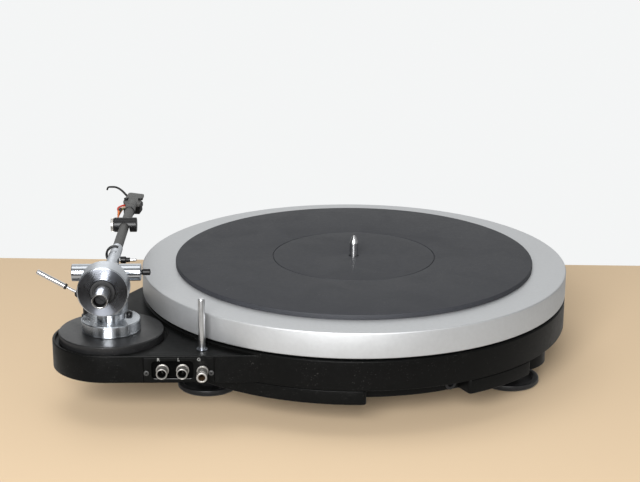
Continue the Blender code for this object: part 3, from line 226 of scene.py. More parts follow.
def plate(outline, bottom, top, soft=0.0, soft_below=None):
    """A thick plate whose rims are rounded by 'soft' above and 'soft_below' underneath."""
    outline = [(x * mm, y * mm) for x, y in outline]
    below = soft if soft_below is None else soft_below
    bottom, top, soft, below = [value * mm for value in (bottom, top, soft, below)]
    quarter = [pi / 2 * step / 3 for step in range(4)]
    levels = [(below * (1 - sin(way)), bottom + below * (1 - cos(way)))
              for way in (quarter if below > 0 else [pi / 2])]
    levels += [(soft * (1 - cos(way)), top - soft * (1 - sin(way)))
               for way in (quarter if soft > 0 else [0.0])]
    shape = bmesh.new()
    rings = [[shape.verts.new((x, y, height)) for x, y in inset(outline, shift)]
             for shift, height in levels]
    skin(shape, rings)
    shape.faces.new(list(reversed(rings[0])))
    shape.faces.new(rings[-1])
    bmesh.ops.recalc_face_normals(shape, faces=shape.faces)
    return shape


# %% [markdown]
# Levers, leads and the finger lift are rods that follow a line. A bevelled curve would do,
# but rings placed along the line let the rod grow thinner towards its end, as a drawn one does.

# %% Rods along a line
def smooth_path(corners, steps):
    """Points of a smooth curve through the given corners."""
    knots = [corners[0]] + list(corners) + [corners[-1]]
    path = []
    for first, start, end, last in zip(knots, knots[1:], knots[2:], knots[3:]):
        for step in range(steps):
            t = step / steps
            path.append(0.5 * (2 * start + (end - first) * t
                               + (2 * first - 5 * start + 4 * end - last) * t ** 2
                               + (3 * start - first - 3 * end + last) * t ** 3))
    return path + [corners[-1]]


def rod(path, radii, sides):
    """A round rod along a path; radii is one size, or one for each point."""
    path = [point * mm for point in path]
    sizes = [size * mm for size in ([radii] * len(path) if isinstance(radii, float) else radii)]
    shape = bmesh.new()
    tangent = (path[1] - path[0]).normalized()
    side = tangent.orthogonal().normalized()
    rings = []
    for index, (point, size) in enumerate(zip(path, sizes)):
        ahead = path[min(index + 1, len(path) - 1)] - path[max(index - 1, 0)]
        side = (tangent.rotation_difference(ahead.normalized()) @ side).normalized()
        tangent = ahead.normalized()
        other = tangent.cross(side)
        rings.append([shape.verts.new(point + (side * cos(tau * k / sides)
                                               + other * sin(tau * k / sides)) * size)
                      for k in range(sides)])
    skin(shape, rings)
    for ring, point, inner in ((rings[0], path[0], path[1]), (rings[-1], path[-1], path[-2])):
        dome = (point - inner).normalized() * 0.45 * (ring[0].co - point).length
        crown = shape.verts.new(point + dome)
        for k in range(sides):
            shape.faces.new((ring[k], ring[(k + 1) % sides], crown))
    bmesh.ops.recalc_face_normals(shape, faces=shape.faces)
    return shape


# %% [markdown]
# Pockets, slots and bores are cut as a workshop would cut them, with a tool shape taken away.
# The cut is made real at once, so that no modifier is left on the piece.
# The last helper puts a piece in its place, smooths its round faces, and ties it to its body.

# %% Cut, join and settle
def stand(name, data):
    """An object in the scene for a mesh, a lamp or a line of text."""
    made = bpy.data.objects.new(name, data)
    bpy.context.scene.collection.objects.link(made)
    return made


def plain_mesh(piece):
    """The mesh that an object shows once its modifiers or its curves are worked out."""
    bpy.context.view_layer.update()
    return bpy.data.meshes.new_from_object(piece.evaluated_get(bpy.context.evaluated_depsgraph_get()))


def solid(name, shape):
    """Wraps a bmesh in an object."""
    mesh = bpy.data.meshes.new(name)
    shape.to_mesh(mesh)
    shape.free()
    return stand(name, mesh)


def carve(target, shape, place=Matrix(), operation="DIFFERENCE"):
    """Takes a shape away from an object, or joins it on, and keeps the result as a plain mesh."""
    tool = solid("tool", shape)
    tool.data.transform(place)
    change = target.modifiers.new("carve", "BOOLEAN")
    change.object = tool
    change.operation = operation
    change.solver = "EXACT"
    old, target.data = target.data, plain_mesh(target)
    target.modifiers.clear()
    bpy.data.meshes.remove(old)
    bpy.data.objects.remove(tool, do_unlink=True)
    return target


def settle(piece, place, finish, *nodes, sharp=32, paint=None):
    """Moves the mesh into place, shades it, and lets it stand for its nodes.

    Where a piece has several finishes, 'paint' picks one by number for the middle of each face.
    """
    faces = piece.data.polygons
    picked = [paint(face.center / mm) if paint else face.material_index for face in faces]
    piece.data.transform(place)
    piece.data.shade_smooth()
    piece.data.set_sharp_from_angle(angle=radians(sharp))
    finishes = finish if isinstance(finish, list) else [finish]
    piece.data.materials.clear()
    for one in finishes:
        piece.data.materials.append(one)
    faces.foreach_set("material_index", picked)
    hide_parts(*nodes)
    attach(piece, body_of[nodes[0]])
    return piece


def turn_out(name, points, place, finish, *nodes, segments=96, closed=False, steps=4):
    """The common case: one turned piece, straight from its profile."""
    finish = turned_about(finish, place)
    return settle(solid(name, lathe(points, segments, closed, steps)), place, finish, *nodes)


# %% [markdown]
# Finishes come next. Blasted metal, rubber, lacquer and turned metal differ, but they share
# a few surface effects: a fine grain, the lathe's tool marks, and dust and fingermarks.
# Painting each by hand would be slow, so each effect is one node group, built once.
# A group gives out only heights and masks; the gloss itself stays in each material.

# %% Node helpers and the shared effects
def feed(node, inputs):
    """Sets inputs to a value, to a socket of another node, or to another node's first output."""
    for name, value in inputs.items():
        if isinstance(value, bpy.types.Node):
            value = value.outputs[0]
        if isinstance(value, bpy.types.NodeSocket):
            node.id_data.links.new(value, node.inputs[name])
        else:
            node.inputs[name].default_value = value
    return node


def add(tree, kind, inputs=None, **settings):
    """A new shader node with its settings and its inputs."""
    made = tree.nodes.new("ShaderNode" + kind)
    for name, value in settings.items():
        setattr(made, name, value)
    return feed(made, inputs or {})


def effect(name, inputs, outputs):
    """An empty node group with named number sockets."""
    group = bpy.data.node_groups.new(name, "ShaderNodeTree")
    for label, value in inputs.items():
        made = group.interface.new_socket(label, in_out="INPUT", socket_type="NodeSocketFloat")
        made.default_value = value
    for label in outputs:
        group.interface.new_socket(label, in_out="OUTPUT", socket_type="NodeSocketFloat")
    return group, group.nodes.new("NodeGroupInput"), group.nodes.new("NodeGroupOutput")


grain, enter, leave = effect("surface_grain", {"Scale": 1500.0}, ["Height", "Tone"])
where = add(grain, "TexCoord").outputs["Object"]
fine = add(grain, "TexNoise", {"Vector": where, "Scale": enter, "Detail": 3.0})
coarse_scale = add(grain, "Math", {0: enter, 1: 0.11}, operation="MULTIPLY")
coarse = add(grain, "TexNoise", {"Vector": where, "Scale": coarse_scale, "Detail": 4.0})
feed(leave, {"Height": fine, "Tone": coarse})

tool_marks, enter, leave = effect("tool_marks", {"Lines": 6000.0}, ["Height", "Tone"])
where = add(tool_marks, "UVMap", uv_map="turned")
fine_place = add(tool_marks, "VectorMath", {0: where, "Scale": enter}, operation="SCALE")
broad_place = add(tool_marks, "VectorMath", {0: fine_place, "Scale": 0.12}, operation="SCALE")
for label, spot in (("Height", fine_place), ("Tone", broad_place)):
    noise = add(tool_marks, "TexNoise", {"Vector": spot, "Scale": 1.0, "Detail": 2.0},
                noise_dimensions="2D")
    feed(leave, {label: noise})

handling, enter, leave = effect("handling", {"Dust": 0.3, "Smudge": 0.3}, ["Dust", "Smudge"])
where = add(handling, "TexCoord").outputs["Object"]
masks = []
for scale, detail, bend, low, high in ((1100.0, 2.0, 0.0, 0.66, 0.74), (45.0, 3.0, 0.0, 0.4, 0.7),
                                       (22.0, 5.0, 1.2, 0.42, 0.68)):
    noise = add(handling, "TexNoise", {"Vector": where, "Scale": scale, "Detail": detail,
                                       "Distortion": bend})
    masks.append(add(handling, "MapRange", {"Value": noise, "From Min": low, "From Max": high}))
speck, patch, smear = masks
specks = add(handling, "Math", {0: speck, 1: patch}, operation="MULTIPLY")
for label, mask in (("Dust", specks), ("Smudge", smear)):
    amount = add(handling, "Math", {0: mask, 1: enter.outputs[label]}, operation="MULTIPLY")
    feed(leave, {label: amount})
print("effects:", [group.name for group in bpy.data.node_groups])

# %% [markdown]
# One function lays the effects into a material in the same order each time: tone first,
# then dust on the colour, smudges in the roughness, and grain or tool marks as relief.
# Depths are real: blasting leaves pits of a few hundredths of a millimetre, a lathe far less.

# %% A finish from its parts
def finish_of(name, colour, roughness, metallic=0.0, specular=0.5, grain_scale=1500.0, lines=0.0,
              depth=0.01, tone=0.25, gloss_change=0.08, dust=0.0, smudge=0.0,
              dust_colour=(0.35, 0.34, 0.32), stretch=0.0):
    """A material whose grain or tool marks, dust and smudges come from the shared effects."""
    material = bpy.data.materials.new(name)
    material.use_nodes = True
    tree = material.node_tree
    shader = tree.nodes["Principled BSDF"]
    texture = add(tree, "Group", {0: lines or grain_scale}, node_tree=tool_marks if lines else grain)
    marks = add(tree, "Group", {"Dust": dust, "Smudge": smudge}, node_tree=handling)
    low, high = [(*[min(1.0, channel * (1 + change)) for channel in colour], 1.0)
                 for change in (-tone, tone)]
    shade = add(tree, "Mix", {"Factor": texture.outputs["Tone"], 6: low, 7: high}, data_type="RGBA")
    dusty = add(tree, "Mix", {"Factor": marks.outputs["Dust"], 6: shade.outputs[2],
                              7: (*dust_colour, 1.0)}, data_type="RGBA")
    rough = add(tree, "MapRange", {"Value": texture.outputs["Tone"],
                                   "To Min": max(0.02, roughness - gloss_change),
                                   "To Max": min(1.0, roughness + gloss_change)})
    smeared = add(tree, "Math", {0: marks.outputs["Smudge"], 1: 0.2, 2: rough},
                  operation="MULTIPLY_ADD")
    relief = add(tree, "Bump", {"Strength": 1.0, "Distance": depth * mm,
                                "Height": texture.outputs["Height"]})
    feed(shader, {"Base Color": dusty.outputs[2], "Roughness": smeared, "Normal": relief,
                  "Metallic": metallic, "Specular IOR Level": specular})
    if stretch:
        from_axis = add(tree, "VectorMath", {0: add(tree, "TexCoord").outputs["Object"]},
                        operation="SUBTRACT", name="from_axis")
        around = add(tree, "VectorMath", {0: (0.0, 0.0, 1.0), 1: from_axis},
                     operation="CROSS_PRODUCT", name="around")
        outside = add(tree, "VectorTransform", {"Vector": around}, vector_type="VECTOR",
                      convert_from="OBJECT", convert_to="WORLD")
        feed(shader, {"Anisotropic": stretch, "Anisotropic Rotation": 0.25, "Tangent": outside})
    return material


def turned_about(finish, place):
    """A copy of a turned finish whose gloss runs round the Z axis of a place."""
    if not finish.node_tree.nodes.get("around"):
        return finish
    made = finish.copy()
    made.node_tree.nodes["from_axis"].inputs[1].default_value = place.translation
    made.node_tree.nodes["around"].inputs[0].default_value = place.to_3x3().col[2]
    return made


# %% [markdown]
# The blacks differ more than they seem to: the deck is satin lacquer that swallows light,
# the armboard is a smoother anodised disc, small arm parts are a deep even black, and the mat
# is rubber with a cool sheen. The greys and silvers go from blasted to mirror bright.

# %% The finishes
lacquer = finish_of("satin_lacquer", (0.0025, 0.0026, 0.0025), 0.34, specular=0.12,
                    grain_scale=2200.0, depth=0.004, dust=0.2, smudge=0.3)
anodised = finish_of("black_anodised", (0.012, 0.012, 0.0125), 0.3, grain_scale=2600.0,
                     depth=0.004, dust=0.4, smudge=0.5)
small_black = finish_of("small_black_metal", (0.005, 0.005, 0.0053), 0.36, specular=0.35,
                        grain_scale=3000.0, depth=0.001, dust=0.05)
matt_plastic = finish_of("matt_black_plastic", (0.014, 0.014, 0.015), 0.55, specular=0.4,
                         grain_scale=2500.0, depth=0.012, dust=0.25)
mat_rubber = finish_of("mat_rubber", (0.027, 0.0285, 0.034), 0.6, specular=0.4, grain_scale=2400.0,
                       depth=0.02, tone=0.2, dust=0.3, smudge=0.25)
black_rubber = finish_of("black_rubber", (0.018, 0.018, 0.019), 0.7, specular=0.3,
                         grain_scale=2000.0, depth=0.02, dust=0.3)
cartridge_black = finish_of("cartridge_black", (0.006, 0.006, 0.0065), 0.5, specular=0.2, depth=0.004)
window_black = finish_of("window_black", (0.0006, 0.0006, 0.0006), 0.6, specular=0.04, depth=0.002)
# a lighter grey for the panel window's lower edge: a painted highlight, the line of light that edge
# catches
painted_highlight_edge = finish_of("painted_highlight_edge", (0.08, 0.08, 0.078), 0.4, depth=0.002)
blasted = finish_of("blasted_aluminium", (0.61, 0.62, 0.63), 0.5, metallic=0.8, grain_scale=3200.0,
                    depth=0.05, tone=0.06, gloss_change=0.04, dust=0.08, smudge=0.15,
                    dust_colour=(0.5, 0.5, 0.48))
turned = {"metallic": 1.0, "lines": 9000.0, "depth": 0.0003, "gloss_change": 0.02}
bright_turned = finish_of("bright_turned_metal", (0.63, 0.66, 0.7), 0.25, tone=0.06, smudge=0.06,
                          stretch=1.0, **turned)
mirror_turned = finish_of("mirror_turned_metal", (0.74, 0.74, 0.75), 0.2, tone=0.05, smudge=0.06,
                          stretch=0.9, **turned)
turned_face = finish_of("mirror_turned_face", (0.25, 0.265, 0.3), 0.27, tone=0.1, smudge=0.15,
                        stretch=1.0, **turned)
grey_coat = finish_of("grey_coated_tube", (0.1, 0.099, 0.095), 0.5, metallic=0.35,
                      grain_scale=3500.0, depth=0.012, tone=0.3, dust=0.15)
dark_coat = finish_of("dark_collar", (0.02, 0.02, 0.021), 0.35, metallic=0.3, lines=5000.0, depth=0.004)
pale_nickel = finish_of("pale_nickel", (0.46, 0.445, 0.42), 0.36, metallic=0.85, lines=6000.0,
                        depth=0.002)
pale_steel = finish_of("pale_steel", (0.78, 0.79, 0.8), 0.3, metallic=1.0, depth=0.002)
brown_bore = finish_of("brown_bore", (0.03, 0.017, 0.008), 0.4, depth=0.002)
milled = {"grain_scale": 3000.0, "depth": 0.006}
dark_steel = finish_of("dark_steel", (0.08, 0.08, 0.08), 0.42, metallic=0.7, **milled)
brass = finish_of("bare_brass", (0.6, 0.42, 0.18), 0.3, metallic=1.0, tone=0.2, smudge=0.3, **milled)
steel = finish_of("plain_steel", (0.5, 0.5, 0.51), 0.3, metallic=1.0, tone=0.15, smudge=0.2, **milled)
pale_print = finish_of("pale_print", (0.27, 0.27, 0.26), 0.6, grain_scale=4000.0, depth=0.002)
lead_colours = {"red": (0.5, 0.04, 0.02), "pale": (0.7, 0.5, 0.4), "green": (0.2, 0.3, 0.12),
                "orange": (0.72, 0.2, 0.06)}
lead_finishes = [finish_of("lead_" + word, colour, 0.4, grain_scale=3000.0, tone=0.15)
                 for word, colour in lead_colours.items()]
print("finishes:", len(bpy.data.materials))

# %% [markdown]
# The deck is one thick disc with a wing that runs out to carry the arm. On the real machine
# both are milled from one board and lacquered. A single outline, made thick, would have knife
# edges, so we join two solids that already have soft rims.

# %% Deck and wing
deck_radius = 175
deck_bottom, wing_top, deck_top = 37.3, 58.5, 60.7
arm_distance = 220.5
arm_bearing, wing_half_angle = radians(33.44), radians(30.4)
arm_x, arm_y = round_spot(arm_distance, arm_bearing)
wing_radius = 44.7


def wing_outline():
    """Two straight sides, tangent to the round end about the arm's axis."""
    reach = arm_distance * 0.8
    sides = (arm_bearing - wing_half_angle, arm_bearing + wing_half_angle)
    points = arc(wing_radius, sides[1] - pi / 2, sides[0] + pi / 2, 72, (arm_x, arm_y))
    return points + [(x - reach * cos(side), y - reach * sin(side))
                     for (x, y), side in zip((points[-1], points[0]), sides)]


plinth = solid("lacquered_deck", lathe([
    (0, deck_bottom), (deck_radius, deck_bottom, 0.5), (deck_radius, deck_top - 0.9, 0.5),
    (deck_radius - 0.9, deck_top, 0.5), (0, deck_top)], 256))
carve(plinth, plate(wing_outline(), deck_bottom, wing_top, 0.7, 0.4), operation="UNION")
print("deck and wing joined:", len(plinth.data.polygons), "faces")

# %% [markdown]
# What is let into the deck needs a pocket: the armboard, the key, the socket panel and the
# buttons. The wells of the bearing and the motor are cut too, and show only from below.

# %% Pockets of the deck
key_x, key_y = arm_x - 72, arm_y + 27.5
motor_distance, motor_bearing = 125, radians(214.5)
motor_place = at(*round_spot(motor_distance, motor_bearing))
wing_side = arm_bearing - wing_half_angle
panel_from_pillar = 56
panel_travel = wing_radius * tan(wing_side) - panel_from_pillar / cos(wing_side)
panel = (at(arm_x - sin(wing_side) * wing_radius + cos(wing_side) * panel_travel,
            arm_y + cos(wing_side) * wing_radius + sin(wing_side) * panel_travel, 47.4)
         @ Euler((pi / 2, 0, wing_side + pi)).to_matrix().to_4x4())


def outward(radius, height, degrees):
    """A place on the deck's side whose Z axis points out of the deck."""
    way = radians(degrees)
    return at(*round_spot(radius, way), height) @ Euler((0, pi / 2, way)).to_matrix().to_4x4()


def cylinder(radius, low, high, segments=96):
    """A plain round shape from one level to another."""
    return lathe([(0, low), (radius, low), (radius, high), (0, high)], segments)


button_places = [outward(deck_radius, 47.9, degrees) for degrees in (252, 258.5)]
carve(plinth, lathe([
    (0, 33), (30.3, 33), (30.3, wing_top - 2.2), (42.5, wing_top - 2.2, 0.3), (42.5, wing_top - 0.4),
    (43.1, wing_top + 0.2), (43.1, wing_top + 2), (0, wing_top + 2)], 160), at(arm_x, arm_y))
for inner, ledge, outer, place in ((14.1, 55.9, 26.3, at(0, 0)), (25.6, 57.7, 34.3, motor_place)):
    carve(plinth, lathe([(0, 33), (inner, 33), (inner, ledge), (outer, ledge), (outer, 64), (0, 64)], 72),
          place)
carve(plinth, cylinder(3.9, 50.6, 64), at(key_x, key_y))
carve(plinth, plate(rounded_rectangle(52.6, 19.8, 1.2), -4.3, 4), panel)
carve(plinth, plate(rounded_rectangle(44, 12, 1.2), -13, -2), panel)
for place in button_places:
    carve(plinth, lathe([(0, -8), (4.3, -8), (4.3, -0.3), (4.9, 0.3), (4.9, 4), (0, 4)], 48), place)
settle(plinth, deck, lacquer, "plinth")
print("deck finished:", len(plinth.data.polygons), "faces")

# %% [markdown]
# Under the deck hangs a shallower body with scoops for the three feet and a notch for the
# supply lead's inlet. Its outline is one long run of arcs. Seen from above it is open at each
# scoop, and each end of the skirt turns in with a small round, as a cutter would leave it.

# %% Lower body
base_bottom, base_top = 26.2, 37.0
foot_circle, scoop_radius = 139.5, 30.2
foot_angles = [radians(34.5 + 120 * number) for number in range(3)]
end_radius, notch_depth = 3, 15
scoop_half = asin(scoop_radius / foot_circle)
end_swing = asin(end_radius / (deck_radius - end_radius))


def skirt_end(angle, side):
    """The small round at an end of the skirt; side is 1 before a gap and -1 after it."""
    begin = angle - side * end_swing
    return arc(end_radius, begin, angle + side * pi / 2, 6, round_spot(deck_radius - end_radius, begin))


def skirt_outline():
    """The skirt's edge, gap by gap: a scoop for each foot, and the notch of the inlet."""
    gaps = [(angle - scoop_half, angle + scoop_half, "pod") for angle in foot_angles]
    gaps.append((radians(93.5), radians(120.1), "inlet"))
    gaps.sort(key=lambda gap: gap[0] % tau)
    outline = []
    for (start, end, kind), following in zip(gaps, gaps[1:] + gaps[:1]):
        outline += skirt_end(start, 1)
        if kind == "inlet":
            outline += arc(deck_radius - notch_depth, start, end, 12)
        else:
            toward = (start + end) / 2
            outline += arc(scoop_radius, toward - scoop_half - pi / 2, toward + scoop_half - 3 * pi / 2,
                           28, round_spot(foot_circle, toward))
        outline += list(reversed(skirt_end(end, -1)))
        stop = following[0]
        while stop < end:
            stop += tau
        steps = max(2, round(220 * (stop - end) / tau))
        outline += arc(deck_radius, end + end_swing, stop - end_swing, steps)[1:-1]
    return outline


inlet_place = outward(160, 31.6, 117.4)
lower = solid("lower_body", plate(skirt_outline(), base_bottom, base_top, 0.4, 0.7))
carve(lower, cylinder(92, 20, 42))
carve(lower, cylinder(25.6, 20, 42), motor_place)
carve(lower, cylinder(4.5, -9.3, 4), inlet_place)
skirt_cut = [round_spot(radius, radians(degrees))
             for radius, degrees in ((152, 166.5), (182, 166), (182, 196), (175.5, 196))]
carve(lower, plate(skirt_cut, 20, 42))
settle(lower, deck, lacquer, "base_body")
print("lower body:", len(lower.data.polygons), "faces")

# %% [markdown]
# The inlet takes the plug of a separate supply: a flanged ring with a pin in its bore.
# The cover closes the middle from below. Both are turned pieces in plain black.

# %% Inlet and cover
turn_out("supply_inlet", [
    (0, -9), (4.2, -9), (4.2, 0.3), (4.8, 0.3), (4.8, 1.3, 0.3), (2.8, 1.3, 0.2), (2.8, -3.2),
    (0.9, -3.2), (0.9, 0, 0.4), (0, 0)], deck @ inlet_place, matt_plastic, "power_inlet", segments=48)
turn_out("round_cover", [
    (0, 26.2), (91.7, 26.2, 0.4), (91.7, 28.2), (0, 28.2)], deck, matt_plastic, "bottom_cover",
    segments=160)

# %% [markdown]
# Each foot is a dished disc on a threaded stem, screwed into a round pod. The disc has a
# raised rim that catches a line of light, and a rubber pad stands under it.

# %% Feet and pods
for number, angle in enumerate(foot_angles, start=1):
    place = deck @ at(*round_spot(foot_circle, angle))
    turn_out(f"foot_disc_{number}", [
        (0, 2.3), (19.8, 2.3), (19.8, 0.8), (22.7, 0.8, 0.4), (24.3, 2.4, 1.2), (24.3, 5.8, 0.7),
        (20.7, 5.8, 0.5), (18.9, 4.0, 0.6), (9.5, 4.0, 0.8), (6, 7.6, 0.8), (6, 35.2, 0.4), (0, 35.2)],
        place, anodised, f"foot_{number}")
    turn_out(f"rubber_pad_{number}", [
        (0, 0), (19.5, 0, 0.3), (19.5, 2), (0, 2)], place, black_rubber, f"foot_pad_{number}",
        segments=72)
    turn_out(f"foot_housing_{number}", [
        (0, 35.5), (6.3, 35.5), (6.3, 19.9, 0.4), (27.7, 19.9, 0.4), (28.5, 20.7, 0.4), (28.5, 37),
        (0, 37)], place, lacquer, f"foot_pod_{number}")
print("feet at", [round(1000 * x, 1) for x in place.translation])

# %% [markdown]
# The platter is a heavy aluminium ring, blasted and clear anodised, with a small round on
# each rim. The rubber mat is smaller, so a bright band of metal frames it, and a fine groove
# marks the edge of a record's label. The spindle stands in the middle with a pointed tip.

# %% Platter, mat and spindle
platter_radius, platter_bottom, platter_top = 175, 62.3, 82.5
turn_out("blasted_platter", [
    (3.9, 72.5), (160, 72.5, 1), (160, platter_bottom, 0.4), (platter_radius, platter_bottom, 1.1),
    (platter_radius, platter_top, 1.1), (3.9, platter_top)], deck, blasted, "platter", segments=320,
    closed=True)
mat_bottom, mat_top, groove_radius = 82.8, 86.7, 67
turn_out("record_mat", [
    (4.2, mat_bottom), (147.5, mat_bottom, 0.4), (147.5, mat_top, 0.9),
    (groove_radius + 0.45, mat_top, 0.1), (groove_radius + 0.15, mat_top - 0.7),
    (groove_radius - 0.15, mat_top - 0.7), (groove_radius - 0.45, mat_top, 0.1), (4.2, mat_top, 0.2)],
    deck, mat_rubber, "platter_mat", segments=288, closed=True)
turn_out("pointed_spindle", [
    (0, 31.1), (8, 31.1, 0.8), (8, 62.9), (3.6, 62.9), (3.6, 97.7, 0.5), (2.2, 101.6, 2),
    (0.9, 103.6, 0.4), (0, 104)], deck, mirror_turned, "spindle", segments=64)
print("record stands", round(mat_top - platter_top, 1), "mm above the platter")

# %% [markdown]
# The drive hides under the platter: a motor, its pulley, a flat belt and an inner platter.
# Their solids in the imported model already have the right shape, so they stay, and only
# get better finishes through their material slots.

# %% Finishes for the hidden drive
for node, finish in (("drive_belt", black_rubber), ("sub_platter", blasted), ("bearing_housing", brass),
                     ("motor", steel), ("motor_pulley", brass)):
    for slot in frame["nodes"][node].material_slots:
        slot.material = finish
print("kept from the frame: belt, inner platter, bearing, motor and pulley")

# %% [markdown]
# Two round buttons in the front edge pick the speed. They are turned from aluminium, with a
# crowned face that a finger finds easily.

# %% Speed buttons
for number, place in enumerate(button_places, start=1):
    turn_out(f"turned_button_{number}", [
        (0, -4.9), (4, -4.9, 0.3), (4, 1.5, 0.4), (2.4, 1.6, 0.3), (0, 1.45)], deck @ place,
        bright_turned, f"speed_button_{number}", segments=64)

# %% [markdown]
# The sockets sit on a small black plate let into the wing's rear face. The plate has a
# sunk window for the two signal sockets, and a screw at each end. The window's rim is cut
# with a slight slope, and its lower edge is painted a lighter grey: a painted highlight
# for the line of light that this edge catches.

# %% Socket panel
panel_plate = solid("panel_plate", plate(rounded_rectangle(52, 19.2, 0.9), -4, 0, 0.25))
window_x = -4.7
for length, height, corner, depth, soft in ((30.5, 13.5, 2.8, 2.2, 0.3), (31.4, 14.4, 3.2, 0.2, 0.4)):
    window = [(x + window_x, y) for x, y in rounded_rectangle(length, height, corner, 8)]
    carve(panel_plate, plate(window, -depth, 3, 0.0, soft))
socket_spots = {"1": (-12.2, -0.7), "2": (2.7, -0.7)}
ground_spot = (17.52, -0.7)
for x, y in list(socket_spots.values()) + [ground_spot]:
    carve(panel_plate, cylinder(3.4, -8, 3), at(x, y))


def panel_finish(middle):
    """Lacquer, or the window's black, or a painted highlight on the edge under the window."""
    if abs(middle.x - window_x) >= 15.75 or abs(middle.y) >= 7.25:
        return 0
    # the window's lower rim takes the lighter grey of the painted highlight
    if -0.25 < middle.z < 0.24 and middle.y < -6.6:
        return 2
    return 1 if -2.4 < middle.z < -0.1 else 0


panel_face = deck @ panel
settle(panel_plate, panel_face, [lacquer, window_black, painted_highlight_edge], "socket_panel", paint=panel_finish)
print("panel:", len(panel_plate.data.polygons), "faces")

# %% [markdown]
# A phono socket is a nickel flange and a thin barrel round a black insulator, with a sprung
# contact deep inside. The three rings of light that they give are what the eye reads.

# %% Phono sockets
for number, (x, y) in socket_spots.items():
    turn_out(f"phono_socket_{number}", [
        (0, -8.5), (3.1, -8.5), (3.1, -1.9), (4.8, -1.9, 0.2), (4.8, -0.7, 0.3), (4.1, -0.7, 0.15),
        (4.1, 7.1, 0.35), (3.3, 7.1, 0.2), (3.3, -1.9), (0, -1.9)], panel_face @ at(x, y), pale_nickel,
        f"rca_socket_{number}", segments=72)
    turn_out(f"socket_insulator_{number}", [
        (1.7, -1.6), (3.0, -1.6), (3.0, 5.9, 0.3), (2.2, 5.9, 0.2), (1.7, 5.3)], panel_face @ at(x, y),
        window_black, f"rca_insulator_{number}", segments=48, closed=True)

# %% [markdown]
# The ground post beside the sockets has a knurled nut. Straight ribs repeat round a ring, so
# Geometry Nodes make them: a circle of points, one slim block on each, turned outwards.
# The same tree serves the thumb screw and the small knob of the arm, with other sizes.

# %% A ring of ribs in Geometry Nodes
rib_tree = bpy.data.node_groups.new("ring_of_ribs", "GeometryNodeTree")
rib_tree.interface.new_socket("Geometry", in_out="INPUT", socket_type="NodeSocketGeometry")
rib_sockets = {}
for label, kind in (("Count", "Int"), ("Radius", "Float"), ("Length", "Float"), ("Width", "Float"),
                    ("Height", "Float"), ("Start", "Float"), ("Finish", "Material")):
    made = rib_tree.interface.new_socket(label, in_out="INPUT", socket_type="NodeSocket" + kind)
    rib_sockets[label] = made.identifier
rib_tree.interface.new_socket("Geometry", in_out="OUTPUT", socket_type="NodeSocketGeometry")
enter, circle, block_size, block, place_of, aim, spread, real, lift, lift_by, paint, leave = [
    rib_tree.nodes.new(kind) for kind in (
        "NodeGroupInput", "GeometryNodeMeshCircle", "ShaderNodeCombineXYZ", "GeometryNodeMeshCube",
        "GeometryNodeInputPosition", "FunctionNodeAlignRotationToVector", "GeometryNodeInstanceOnPoints",
        "GeometryNodeRealizeInstances", "GeometryNodeTransform", "ShaderNodeCombineXYZ",
        "GeometryNodeSetMaterial", "NodeGroupOutput")]
aim.axis = "X"
for source, output, target, socket in (
        (enter, "Count", circle, "Vertices"), (enter, "Radius", circle, "Radius"),
        (enter, "Height", block_size, "X"), (enter, "Width", block_size, "Y"),
        (enter, "Length", block_size, "Z"), (block_size, 0, block, "Size"), (place_of, 0, aim, "Vector"),
        (circle, "Mesh", spread, "Points"), (block, "Mesh", spread, "Instance"),
        (aim, 0, spread, "Rotation"), (spread, "Instances", real, "Geometry"),
        (real, "Geometry", lift, "Geometry"), (enter, "Start", lift_by, "Z"),
        (lift_by, 0, lift, "Translation"), (lift, "Geometry", paint, "Geometry"),
        (enter, "Finish", paint, "Material"), (paint, "Geometry", leave, "Geometry")):
    rib_tree.links.new(source.outputs[output], target.inputs[socket])


def ring_of_ribs(name, place, finish, node, count, **sizes):
    """Ribs round a turned piece, made by the tree and kept as a plain mesh."""
    piece = solid(name, bmesh.new())
    change = piece.modifiers.new("ribs", "NODES")
    change.node_group = rib_tree
    change[rib_sockets["Finish"]] = finish
    change[rib_sockets["Count"]] = count
    for label, value in sizes.items():
        change[rib_sockets[label.capitalize()]] = value * mm
    piece.data = plain_mesh(piece)
    piece.modifiers.clear()
    piece.data.transform(place)
    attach(piece, body_of[node])
    return piece


# %% [markdown]
# The post itself is one turned piece with a funnel in its tip, where the wire goes in. The
# funnel looks brown in the photograph, so its faces take a finish of their own.

# %% Ground post
ground = panel_face @ at(*ground_spot)
terminal = solid("ground_terminal", lathe([
    (0, -8.5), (3.1, -8.5), (3.1, 0.3), (4.3, 0.3, 0.15), (4.3, 1.5, 0.2), (3.3, 1.5), (3.3, 2.2),
    (3.75, 2.9, 0.2), (3.75, 10.8, 0.2), (3.4, 11.2), (4.0, 11.6, 0.3), (4.0, 14.2, 0.5),
    (2.7, 14.2, 0.3), (1.2, 11.6), (1.2, 4), (0, 4)], 72))
settle(terminal, ground, [pale_nickel, brown_bore], "ground_post",
       paint=lambda middle: int(middle.z > 3.9 and middle.xy.length < 2.4))
knurl = ring_of_ribs("ground_knurl", ground, pale_nickel, "ground_post", 32, radius=3.75, length=7.4,
                     width=0.36, height=0.46, start=6.85)
print("ribs on the ground post:", len(knurl.data.polygons) // 6)

# %% [markdown]
# Small screws need only their heads, but a head without its recess looks like a rivet.
# A cross is cut into the panel's two screws, and a plain slot into the cartridge's.

# %% Screws with a cross or a slot
def screw_head(name, radius, low, high, place, finish, node, cross=True, degrees=10):
    """A screw's head with a cross, or with one slot from edge to edge."""
    head_shape = solid(name, lathe([(0, low), (radius, low), (radius, high, 0.35 * (high - low)),
                                    (0, high + 0.1 * radius)], 40))
    slot = rounded_rectangle(radius * (1.15 if cross else 2.4), radius * 0.24, radius * 0.05, 1)
    for way in ((degrees, degrees + 90) if cross else (degrees,)):
        carve(head_shape, plate(slot, high - 0.45 * radius, high + radius), turn(way, "Z"))
    return settle(head_shape, place, finish, node)


